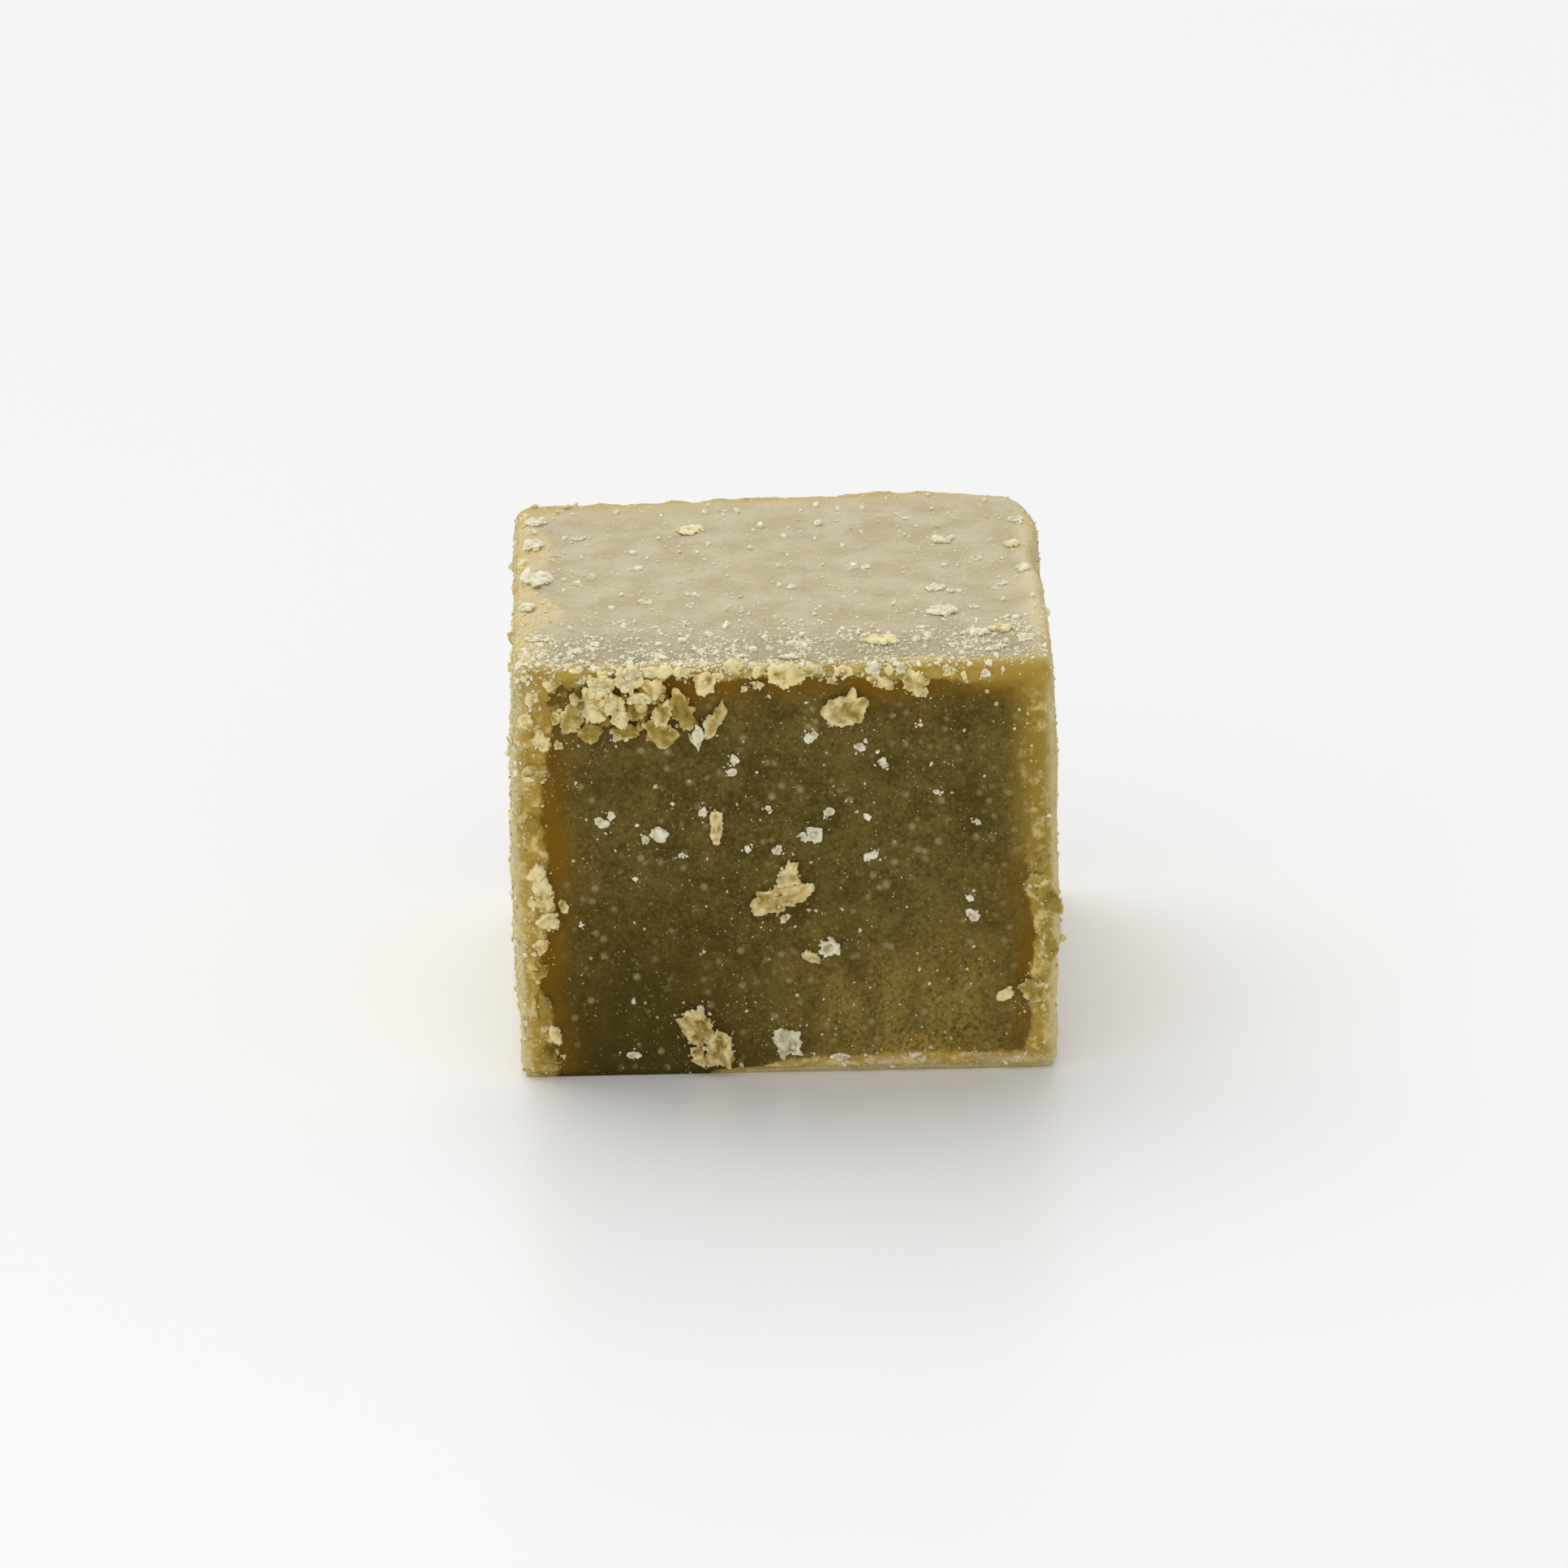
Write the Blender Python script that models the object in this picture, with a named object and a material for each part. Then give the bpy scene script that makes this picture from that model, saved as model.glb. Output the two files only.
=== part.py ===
"""Nama chocolate block: a soft ganache cube with a dried skin, crumbs and thin flakes.

Metres, +Z up. The origin is the middle of the flat underside. The clean-cut face that
carries most of the crumbs looks along -Y.
"""
import math
import random

import bmesh
import bpy
from mathutils import Matrix, Vector, noise

MM = 0.001

# Driving sizes of the cut block
WIDTH = 20.0 * MM
DEPTH = 20.0 * MM
HEIGHT = 16.15 * MM

# Edge radii of a soft block cut with a warm knife
UPRIGHT_RADIUS = 0.75 * MM
TOP_RADIUS = 0.55 * MM
BASE_RADIUS = 0.45 * MM
WORN_CORNER_RADIUS = 1.6 * MM
WORN_CORNER_REACH = 3.2 * MM
WORN_CORNER = Vector((WIDTH / 2, DEPTH / 2, HEIGHT))

# How far the block is from a true box
SIDE_BULGE = 0.20 * MM
BACK_SWELL = 0.40 * MM
TOP_SWELL = 0.22 * MM
WAVE_DEPTH = 0.09 * MM
WAVE_LENGTH = 5.5 * MM
NICK = Vector((WIDTH / 2, 2.4 * MM, HEIGHT))
NICK_DEPTH = 0.30 * MM
NICK_REACH = 1.6 * MM

# Dried lip that frames each cut face: how proud, how wide on each border, how ragged,
# where across its width it falls off, and how far from the face's edge it starts
LIP_PROUD = 0.15 * MM
LIP_SIDE = 1.15 * MM
LIP_TOP = 0.75 * MM
LIP_BASE = 0.45 * MM
LIP_RAGGED = 0.40
LIP_RAGGED_LENGTH = 1.6 * MM
LIP_FALLS_AT = 0.75
LIP_GONE_AT = 1.10
LIP_TURN_START = 1.0 * MM
LIP_TURN_END = 0.3 * MM

# Grid of the block's faces: cells along a side, and how much finer they are at the edges
CELLS = 16
EDGE_GRADING = 0.80

# Crumb shapes: faces come from the sphere's subdivision, 20 or 80
GRAIN_DETAIL = 1
FLAKE_DETAIL = 2
FLAKE_THICKNESS = 0.50 * MM
CHIP_THICKNESS = 0.36 * MM
GRAIN_ROUGHNESS = 0.20
FLAKE_ROUGHNESS = 0.16
FLAKE_TILT = math.radians(9)
CLUSTER_TILT = math.radians(16)
STEP = 0.02 * MM
SLIVER = 0.0005 * MM

# Low mounds under the crumb cluster, in mm: across, up, length, width, height
CLUSTER_MOUNDS = (
    (-6.60, 14.90, 2.4, 1.8, 1.1), (-4.75, 14.80, 2.0, 1.8, 1.1), (-5.60, 15.75, 3.2, 1.0, 0.9),
)

# Flakes on the cut face, in mm: across, up, length, width, turn in degrees, lift off the skin
CLUSTER_FLAKES = (
    (-6.66, 15.95, 0.9, 0.7, 10, 0.25), (-5.91, 15.98, 1.0, 1.0, 30, 0.35),
    (-5.11, 15.95, 1.1, 0.8, -10, 0.40), (-4.44, 15.95, 1.0, 0.7, 8, 0.30),
    (-7.00, 15.34, 1.1, 0.8, -15, 0.25), (-6.67, 14.64, 1.2, 1.2, 40, 0.46),
    (-5.95, 15.03, 0.8, 0.7, 20, 0.60), (-5.77, 14.27, 0.9, 0.5, -40, 0.50),
    (-5.19, 15.16, 0.9, 0.6, -35, 0.60), (-4.74, 15.52, 1.2, 0.9, -20, 0.45),
    (-4.48, 14.76, 0.9, 0.8, 15, 0.55), (-4.56, 13.73, 1.3, 1.2, 25, 0.20),
    (-3.85, 14.45, 1.0, 1.7, 12, 0.20), (-7.63, 14.18, 0.95, 1.2, 0, 0.15),
    (-6.88, 13.83, 1.4, 0.9, 10, 0.15), (-5.70, 13.92, 1.0, 0.8, 0, 0.15),
)
LONE_FLAKES = (
    (-0.15, 6.97, 2.2, 1.05, 25, 0.10), (0.20, 7.90, 0.8, 1.00, 0, 0.05),
    (2.19, 14.48, 1.8, 1.10, 8, 0.05), (0.05, 15.72, 1.6, 0.85, 0, 0.10),
    (4.94, 15.25, 1.1, 0.85, -45, 0.05), (-2.86, 15.55, 0.75, 1.15, 0, 0.10),
    (-1.80, 15.85, 0.9, 0.80, 5, 0.12), (3.60, 15.50, 1.3, 0.60, -8, 0.0),
    (-3.55, 2.05, 1.2, 1.00, -55, 0.15), (-2.85, 1.15, 1.3, 1.05, -50, 0.15),
    (8.85, 3.17, 1.5, 1.0, 10, 0.05), (-9.05, 7.20, 1.2, 2.2, 0, 0.05),
    (-9.25, 5.50, 0.8, 1.0, 0, 0.0), (9.30, 6.86, 1.1, 2.2, 0, 0.0),
)

# Flakes on the top
TOP_FLAKES = (
    (-3.35, 5.99, 1.05, 0.9, 20, 0.0), (6.33, 4.12, 1.0, 0.7, 0, 0.05),
    (6.01, -1.35, 1.0, 0.7, 40, 0.10), (6.21, -4.22, 1.2, 1.0, 0, 0.05),
    (3.61, -7.53, 1.4, 0.9, -10, 0.10), (7.76, -6.71, 1.6, 0.7, 15, 0.05),
    (9.10, -7.34, 0.9, 0.8, 0, 0.0), (-9.50, 4.23, 1.0, 1.5, 0, 0.0),
    (-9.22, 0.39, 1.5, 1.8, 0, 0.0), (9.02, 3.49, 0.6, 0.6, 0, 0.0),
)

# Slim chips and shavings on the cut face: across, up, length, width, turn
CHIPS = (
    (-2.56, 14.08, 1.6, 0.45, 60), (-2.67, 9.98, 1.25, 0.45, 80), (3.08, 8.60, 0.65, 0.45, 20),
    (0.82, 4.55, 0.85, 0.50, -25), (7.96, 2.99, 0.65, 0.45, 15), (-4.86, 9.61, 0.85, 0.55, 10),
)

# Clumps of caked powder on the cut face: across, up, length, width
CLUMPS = (
    (-0.25, 1.06, 1.15, 1.05), (1.34, 5.05, 0.75, 0.85), (0.90, 9.49, 0.85, 0.80),
    (-6.84, 10.32, 0.85, 0.60), (-3.19, 13.65, 0.60, 0.80), (-3.10, 0.65, 0.90, 0.60),
)
CLUMP_LOBES = ((0.85, 0.0), (0.50, 0.40), (0.45, -0.38))

# Crumbs strewn by rule: counts on each hidden face, each top edge and each corner
FACE_CRUMBS = {"back": 8, "left": 6, "right": 6, "top": 4}
EDGE_CRUMBS = 8
CORNER_CRUMBS = 5
EDGE_SPREAD = 0.45 * MM
SMALLEST_CRUMB = 0.40 * MM
LARGEST_CRUMB = 1.15 * MM
FACE_MARGIN = 1.2 * MM
STREW_SEED = 41

# Ganache: dark olive brown, soft and matte
GANACHE_COLOUR = (0.102, 0.076, 0.022, 1.0)
GANACHE_ROUGHNESS = 0.62

# Each face as the directions of its two sides and its outward normal
FACES = {
    "front": (Vector((1, 0, 0)), Vector((0, 0, 1)), Vector((0, -1, 0))),
    "back": (Vector((-1, 0, 0)), Vector((0, 0, 1)), Vector((0, 1, 0))),
    "left": (Vector((0, -1, 0)), Vector((0, 0, 1)), Vector((-1, 0, 0))),
    "right": (Vector((0, 1, 0)), Vector((0, 0, 1)), Vector((1, 0, 0))),
    "top": (Vector((1, 0, 0)), Vector((0, 1, 0)), Vector((0, 0, 1))),
}


def mix(low, high, share):
    """Value between two others."""
    return low + (high - low) * share


def smooth_step(start, end, value):
    """Zero before start, one after end, and a smooth rise between them."""
    share = min(max((value - start) / (end - start), 0.0), 1.0)
    return share * share * (3.0 - 2.0 * share)


def edge_radius(place):
    """Radius of the edges near a place: tight at the base, widest at the worn corner."""
    rise = place.z / HEIGHT
    radius = mix(BASE_RADIUS, UPRIGHT_RADIUS, smooth_step(0.0, 0.25, rise))
    radius = mix(radius, TOP_RADIUS, smooth_step(0.75, 1.0, rise))
    distance = (place - WORN_CORNER).length / WORN_CORNER_REACH
    return mix(radius, WORN_CORNER_RADIUS, math.exp(-distance * distance))


def round_edges(place):
    """Move a place on the sharp box to the box with rounded edges."""
    radius = edge_radius(place)
    half_width = WIDTH / 2 - radius
    half_depth = DEPTH / 2 - radius
    core = Vector((
        min(max(place.x, -half_width), half_width),
        min(max(place.y, -half_depth), half_depth),
        min(max(place.z, radius), HEIGHT - radius),
    ))
    return core + (place - core).normalized() * radius


def swell(place):
    """Soft sag of the block: bulging sides, a fuller back and a slightly domed top."""
    rise = min(max(place.z / HEIGHT, 0.0), 1.0)
    across = place.x / (WIDTH / 2)
    along = place.y / (DEPTH / 2)
    bulge = SIDE_BULGE * math.sin(math.pi * rise) * across
    to_back = BACK_SWELL * smooth_step(-0.4, 1.0, across) * smooth_step(0.2, 1.0, along) * rise
    lift = TOP_SWELL * smooth_step(-1.0, 0.5, across) * smooth_step(-0.2, 1.0, along) * rise * rise
    nick = (place - NICK).length / NICK_REACH
    return Vector((bulge - NICK_DEPTH * math.exp(-nick * nick), to_back, lift))


def waves(place):
    """Shallow unevenness of every face but the underside."""
    grounded = smooth_step(0.0, 0.12, place.z / HEIGHT)
    at = place / WAVE_LENGTH
    return Vector((
        noise.noise(at + Vector((3.1, 0.0, 0.0))),
        noise.noise(at + Vector((0.0, 7.7, 0.0))),
        noise.noise(at + Vector((0.0, 0.0, 5.3))),
    )) * (2.0 * WAVE_DEPTH * grounded)


def lip_share(place):
    """One on the dried border of a cut face, zero inside it, with a ragged boundary."""
    ragged = 1.0 + LIP_RAGGED * 2.0 * noise.noise(place / LIP_RAGGED_LENGTH)
    border = min(
        (WIDTH / 2 - abs(place.x)) / LIP_SIDE,
        (HEIGHT - place.z) / LIP_TOP,
        place.z / LIP_BASE,
    )
    return 1.0 - smooth_step(LIP_FALLS_AT * ragged, LIP_GONE_AT * ragged, border)


def lip(place):
    """Raised dried border of the front and back cut faces."""
    inset = DEPTH / 2 - abs(place.y)
    facing = 1.0 - smooth_step(LIP_TURN_END, LIP_TURN_START, inset)
    grounded = smooth_step(0.0, 0.03, place.z / HEIGHT)
    proud = LIP_PROUD * lip_share(place) * facing * grounded
    return Vector((0.0, math.copysign(proud, place.y), 0.0))


def skin(place):
    """Place on the real block for a place on the sharp box."""
    rounded = round_edges(place)
    return rounded + swell(rounded) + waves(rounded) + lip(place)


def box_place(face, across, up):
    """Place on the sharp box, from distances along a face's two sides."""
    side, rise, outward = FACES[face]
    half = Vector((WIDTH / 2, DEPTH / 2, HEIGHT))
    out = Vector((outward.x * half.x, outward.y * half.y, outward.z * half.z))
    return side * across + rise * up + out


def skin_frame(face, across, up):
    """Matrix at a spot of the skin: along the face's two sides, and outwards."""
    here = skin(box_place(face, across, up))
    side = (skin(box_place(face, across + STEP, up)) - here).normalized()
    rise = (skin(box_place(face, across, up + STEP)) - here).normalized()
    outward = side.cross(rise).normalized()
    rise = outward.cross(side)
    frame = Matrix((side, rise, outward)).transposed().to_4x4()
    frame.translation = here
    return frame


def graded(share):
    """Spread grid lines from -1 to 1 so that they are closer together at the ends."""
    bend = EDGE_GRADING * math.pi / 2
    return math.sin(bend * share) / math.sin(bend)


def make_block():
    """The bare block: a gridded cube drawn onto the skin, with one flat underside."""
    shape = bmesh.new()
    bmesh.ops.create_cube(shape, size=2.0)
    bmesh.ops.subdivide_edges(shape, edges=shape.edges[:], cuts=CELLS - 1, use_grid_fill=True)
    for vert in shape.verts:
        x, y, z = (graded(value) for value in vert.co)
        vert.co = skin(Vector((x * WIDTH / 2, y * DEPTH / 2, (z + 1) * HEIGHT / 2)))
    for vert in shape.verts:
        if vert.co.z < STEP:
            vert.co.z = 0.0
    underside = [face for face in shape.faces if all(vert.co.z == 0.0 for vert in face.verts)]
    bmesh.ops.dissolve_faces(shape, faces=underside)
    bmesh.ops.recalc_face_normals(shape, faces=shape.faces[:])
    mesh = bpy.data.meshes.new("nama_chocolate")
    shape.to_mesh(mesh)
    shape.free()
    block = bpy.data.objects.new("nama_chocolate", mesh)
    bpy.context.scene.collection.objects.link(block)
    return block


def add_crumb(crumbs, frame, size, turn, tilt, detail, dice):
    """One closed crumb, half sunk in the skin at the given frame."""
    roughness = GRAIN_ROUGHNESS if detail == GRAIN_DETAIL else FLAKE_ROUGHNESS
    shape = bmesh.new()
    bmesh.ops.create_icosphere(shape, subdivisions=detail, radius=0.5)
    for vert in shape.verts:
        vert.co *= 1.0 + roughness * dice.uniform(-1.0, 1.0)
    stretch = Matrix.Diagonal((size[0], size[1], size[2], 1.0))
    lean = Matrix.Rotation(tilt * dice.uniform(-1.0, 1.0), 4, "X")
    place = frame @ Matrix.Rotation(turn, 4, "Z") @ lean @ stretch
    bmesh.ops.transform(shape, matrix=place, verts=shape.verts)
    mesh = bpy.data.meshes.new("crumb")
    shape.to_mesh(mesh)
    shape.free()
    crumb = bpy.data.objects.new("crumb", mesh)
    crumb.hide_render = True
    crumb.display_type = "WIRE"
    crumbs.objects.link(crumb)


def add_mounds(crumbs, dice):
    """Low mounds that carry the cluster's upper flakes."""
    for across, up, length, width, height in CLUSTER_MOUNDS:
        frame = skin_frame("front", across * MM, up * MM)
        size = (length * MM, width * MM, height * MM)
        add_crumb(crumbs, frame, size, 0.0, 0.0, FLAKE_DETAIL, dice)


def add_flakes(crumbs, face, rows, tilt, dice):
    """Thin ragged flakes that lie on a face."""
    for across, up, length, width, turn, lift in rows:
        size = (length * MM, width * MM, FLAKE_THICKNESS)
        frame = skin_frame(face, across * MM, up * MM) @ Matrix.Translation((0, 0, lift * MM))
        add_crumb(crumbs, frame, size, math.radians(turn), tilt, FLAKE_DETAIL, dice)


def add_chips(crumbs, dice):
    """Slim chips and shavings, too small for the flakes' finer shape."""
    for across, up, length, width, turn in CHIPS:
        size = (length * MM, width * MM, CHIP_THICKNESS)
        frame = skin_frame("front", across * MM, up * MM)
        add_crumb(crumbs, frame, size, math.radians(turn), 0.0, GRAIN_DETAIL, dice)


def add_clumps(crumbs, dice):
    """Clumps of caked powder: one large grain with two small ones at its side."""
    for across, up, length, width in CLUMPS:
        for share, shift in CLUMP_LOBES:
            angle = dice.uniform(0.0, math.tau)
            side = across + shift * length * math.cos(angle)
            rise = up + shift * width * math.sin(angle)
            frame = skin_frame("front", side * MM, rise * MM)
            size = (length * share * MM, width * share * MM, min(length, width) * share * MM)
            add_crumb(crumbs, frame, size, angle, 0.0, GRAIN_DETAIL, dice)


def add_loose_crumb(crumbs, face, across, up, dice):
    """One uneven crumb of a random size and turn, more often small than large."""
    base = mix(SMALLEST_CRUMB, LARGEST_CRUMB, dice.random() ** 2)
    size = (base, base * dice.uniform(0.6, 0.95), base * dice.uniform(0.5, 0.8))
    frame = skin_frame(face, across, up)
    add_crumb(crumbs, frame, size, dice.uniform(0.0, math.tau), FLAKE_TILT, GRAIN_DETAIL, dice)


def strew_faces(crumbs, dice):
    """Crumbs stuck at random on the faces away from the cut one."""
    for face, count in FACE_CRUMBS.items():
        half = (DEPTH if face in ("left", "right") else WIDTH) / 2 - FACE_MARGIN
        low, high = (-DEPTH / 2, DEPTH / 2) if face == "top" else (0.0, HEIGHT)
        for _ in range(count):
            up = dice.uniform(low + FACE_MARGIN, high - FACE_MARGIN)
            add_loose_crumb(crumbs, face, dice.uniform(-half, half), up, dice)


def strew_edges(crumbs, dice):
    """Ragged crumbs along the four top edges and up the four corners."""
    for face in ("front", "back", "left", "right"):
        half = (DEPTH if face in ("left", "right") else WIDTH) / 2
        for _ in range(EDGE_CRUMBS):
            drop = abs(dice.gauss(0.0, EDGE_SPREAD))
            add_loose_crumb(crumbs, face, dice.uniform(-half, half), HEIGHT - drop, dice)
        for _ in range(CORNER_CRUMBS):
            inset = abs(dice.gauss(0.0, EDGE_SPREAD))
            up = HEIGHT * dice.uniform(0.08, 0.92)
            add_loose_crumb(crumbs, face, inset - half, up, dice)


def fuse(block, crumbs):
    """Join the crumbs to the block by one union, then remove them."""
    union = block.modifiers.new("fused crumbs", "BOOLEAN")
    union.operation = "UNION"
    union.solver = "EXACT"
    union.operand_type = "COLLECTION"
    union.collection = crumbs
    bpy.context.view_layer.objects.active = block
    bpy.ops.object.modifier_apply(modifier=union.name)
    for crumb in list(crumbs.objects):
        bpy.data.objects.remove(crumb, do_unlink=True)
    bpy.data.collections.remove(crumbs)


def shells(shape):
    """Groups of faces that are joined to each other by edges."""
    left = set(shape.faces)
    groups = []
    while left:
        front = [left.pop()]
        group = list(front)
        while front:
            face = front.pop()
            for edge in face.edges:
                for other in edge.link_faces:
                    if other in left:
                        left.remove(other)
                        front.append(other)
                        group.append(other)
        groups.append(group)
    return groups


def keep_outer_shell(mesh):
    """Fill sealed hollows and drop loose scraps, so that one closed skin is left."""
    shape = bmesh.new()
    shape.from_mesh(mesh)
    groups = shells(shape)
    groups.sort(key=len)
    for scrap in groups[:-1]:
        bmesh.ops.delete(shape, geom=scrap, context="FACES")
    bmesh.ops.remove_doubles(shape, verts=shape.verts[:], dist=SLIVER)
    bmesh.ops.triangulate(shape, faces=shape.faces[:])
    shape.to_mesh(mesh)
    shape.free()


def ganache():
    """Material of the block."""
    material = bpy.data.materials.new("ganache")
    material.use_nodes = True
    shader = material.node_tree.nodes["Principled BSDF"]
    shader.inputs["Base Color"].default_value = GANACHE_COLOUR
    shader.inputs["Roughness"].default_value = GANACHE_ROUGHNESS
    shader.inputs["Metallic"].default_value = 0.0
    return material


def main():
    """Build the block with all that is stuck to it."""
    for thing in list(bpy.data.objects):
        bpy.data.objects.remove(thing, do_unlink=True)
    dice = random.Random(STREW_SEED)
    block = make_block()
    crumbs = bpy.data.collections.new("crumbs")
    bpy.context.scene.collection.children.link(crumbs)
    add_mounds(crumbs, dice)
    add_flakes(crumbs, "front", CLUSTER_FLAKES, CLUSTER_TILT, dice)
    add_flakes(crumbs, "front", LONE_FLAKES, FLAKE_TILT, dice)
    add_flakes(crumbs, "top", TOP_FLAKES, FLAKE_TILT, dice)
    add_chips(crumbs, dice)
    add_clumps(crumbs, dice)
    strew_edges(crumbs, dice)
    strew_faces(crumbs, dice)
    fuse(block, crumbs)
    keep_outer_shell(block.data)
    block.data.materials.append(ganache())
    block.data.shade_smooth()
    block.data.set_sharp_from_angle(angle=math.radians(40))


main()
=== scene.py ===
"""Nama chocolate block, dressed: soft olive ganache with a dried crust, crumbs and powder.

Pieces are modelled in millimetres, in the frame's axes, and brought to metres when they are
finished. The clean-cut face that carries the crumb cluster looks along -Y.
"""

import logging
import math
from dataclasses import dataclass, field, replace
from enum import Enum
from typing import ClassVar

import bpy
import numpy as np
from mathutils import Matrix, Vector, noise


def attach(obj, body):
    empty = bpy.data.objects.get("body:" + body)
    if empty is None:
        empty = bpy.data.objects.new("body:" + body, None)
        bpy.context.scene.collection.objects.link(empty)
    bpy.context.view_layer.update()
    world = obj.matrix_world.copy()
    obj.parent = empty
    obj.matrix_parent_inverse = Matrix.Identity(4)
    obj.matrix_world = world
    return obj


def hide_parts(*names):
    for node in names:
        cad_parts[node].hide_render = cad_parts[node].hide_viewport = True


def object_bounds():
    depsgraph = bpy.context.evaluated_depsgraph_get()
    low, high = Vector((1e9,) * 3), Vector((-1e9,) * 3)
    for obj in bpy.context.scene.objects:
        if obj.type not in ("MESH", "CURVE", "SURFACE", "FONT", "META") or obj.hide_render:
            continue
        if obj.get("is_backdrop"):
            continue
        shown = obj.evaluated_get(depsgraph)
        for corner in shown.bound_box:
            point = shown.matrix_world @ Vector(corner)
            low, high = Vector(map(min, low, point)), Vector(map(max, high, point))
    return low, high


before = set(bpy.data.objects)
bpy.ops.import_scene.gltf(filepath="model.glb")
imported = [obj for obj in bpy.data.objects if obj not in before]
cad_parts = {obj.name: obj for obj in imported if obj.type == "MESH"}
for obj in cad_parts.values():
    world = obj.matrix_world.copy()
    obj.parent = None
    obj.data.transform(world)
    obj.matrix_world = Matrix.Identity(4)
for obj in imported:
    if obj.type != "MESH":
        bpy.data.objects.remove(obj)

LOG = logging.getLogger("nama_chocolate")
NODE = "nama_chocolate"
BODY = "root"
MM = 0.001
TINY = 1e-9
CRISP_ANGLE = 36.0
ROUND = 24
NOISE_FIELD = 90.0
OFF_GROUND = 0.65
WHOLE = (0.0, 1.0)

Array = np.ndarray
Triple = tuple[float, float, float]
Colour = Triple
Span = tuple[float, float]
Rows = tuple[tuple[float, ...], ...]


def mix(low: float | Array, high: float | Array, share: float | Array) -> float | Array:
    """Value between two others."""
    return low + (high - low) * share


def smooth_step(start: float, end: float, value: float | Array) -> float | Array:
    """Zero before start, one after end, and a smooth rise between them."""
    share = np.clip((value - start) / (end - start), 0.0, 1.0)
    return share * share * (3.0 - 2.0 * share)


def bell(value: Array, middle: float | Array, spread: float) -> Array:
    """Soft band of the given spread round a middle value."""
    return np.exp(-(((value - middle) / spread) ** 2))


def unit(vectors: Array) -> Array:
    """Each row at length one."""
    return vectors / np.maximum(np.linalg.norm(vectors, axis=-1, keepdims=True), TINY)


def soft_noise(places: Array, size: float, shift: Triple = (0.0, 0.0, 0.0)) -> Array:
    """Smooth noise at each place.

    Args:
        places: Rows of places in mm.
        size: Size of one blot in mm.
        shift: Moves the pattern, so that two fields differ.

    Returns:
        One value for each place, about -0.5 to 0.5.
    """
    return np.array([noise.noise(place) for place in (places / size + np.array(shift)).tolist()])


def grain_noise(places: Array, size: float) -> Array:
    """Round grains packed side by side: high in a grain's middle, low between grains."""
    near = [noise.voronoi(place)[0][0] for place in (places / size).tolist()]
    return 0.5 - np.clip(np.array(near), 0.0, 1.0)


def read(items: bpy.types.bpy_prop_collection, name: str, width: int, kind: type = float) -> Array:
    """Values of one property of all items, one row for each.

    Args:
        items: Such as a mesh's points or edges.
        name: The property's name.
        width: How many numbers it holds.
        kind: Whether they are float or int.

    Returns:
        One row for each item.
    """
    values = np.empty(len(items) * width, dtype=np.int32 if kind is int else np.float32)
    items.foreach_get(name, values)
    return values.reshape(-1, width)


def write_places(mesh: bpy.types.Mesh, places: Array) -> None:
    """Move a mesh's points to the given rows."""
    mesh.vertices.foreach_set("co", np.asarray(places, np.float32).ravel())
    mesh.update()


def write_value(mesh: bpy.types.Mesh, name: str, values: Array) -> None:
    """Store one number for each point, for the finish to read."""
    attribute = mesh.attributes.new(name, "FLOAT", "POINT")
    attribute.data.foreach_set("value", np.asarray(values, np.float32))


def deselect_all() -> None:
    """Leave nothing selected before a new primitive."""
    for thing in bpy.context.selected_objects:
        thing.select_set(False)


def take_shape(thing: bpy.types.Object) -> tuple[Array, Array]:
    """Points and faces of a modelled object, which is then deleted.

    Extrude adds its faces in an order that changes from run to run, so they are sorted.

    Args:
        thing: The object, all of triangles.

    Returns:
        Its places in rows, and the three points of each face.
    """
    places = read(thing.data.vertices, "co", 3)
    faces = np.array(sorted(list(face.vertices) for face in thing.data.polygons))
    bpy.data.objects.remove(thing, do_unlink=True)
    return places, faces


def proudness(mesh: bpy.types.Mesh, rounds: int, height: float) -> Array:
    """How far each point stands out of the mesh round it.

    Args:
        mesh: A closed mesh in mm.
        rounds: How many rings of neighbours are averaged.
        height: Height in mm that counts as fully proud.

    Returns:
        0 in a hollow, 0.5 on level ground, 1 on a grain's top.
    """
    edges = read(mesh.edges, "vertices", 2, int)
    start = read(mesh.vertices, "co", 3)
    count = len(start)
    links = np.bincount(edges.ravel(), minlength=count)[:, None]
    level = start.copy()
    for _ in range(rounds):
        total = np.stack([
            np.bincount(edges[:, 0], level[edges[:, 1], axis], count)
            + np.bincount(edges[:, 1], level[edges[:, 0], axis], count)
            for axis in range(3)
        ], axis=1)
        level = total / np.maximum(links, 1)
    stands = ((start - level) * read(mesh.vertices, "normal", 3)).sum(axis=1)
    return np.clip(0.5 + 0.5 * stands / height, 0.0, 1.0)


class Face(Enum):
    """A dressed side of the block: word, direction across, direction up, way out."""

    FRONT = ("front", (1, 0, 0), (0, 0, 1), (0, -1, 0))
    BACK = ("back", (-1, 0, 0), (0, 0, 1), (0, 1, 0))
    LEFT = ("left", (0, -1, 0), (0, 0, 1), (-1, 0, 0))
    RIGHT = ("right", (0, 1, 0), (0, 0, 1), (1, 0, 0))
    TOP = ("top", (1, 0, 0), (0, 1, 0), (0, 0, 1))

    @property
    def word(self) -> str:
        """Name used in a piece's name."""
        return self.value[0]

    @property
    def across(self) -> Array:
        """Direction to the right on the face."""
        return np.array(self.value[1], float)

    @property
    def up(self) -> Array:
        """Direction up on the face."""
        return np.array(self.value[2], float)

    @property
    def out(self) -> Array:
        """Direction out of the block."""
        return np.array(self.value[3], float)


@dataclass(frozen=True)
class Grain:
    """One scale of noise in a finish: size of its blots in mm, its octaves and their strength."""

    size: float
    detail: float = 2.0
    roughness: float = 0.5


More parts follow.
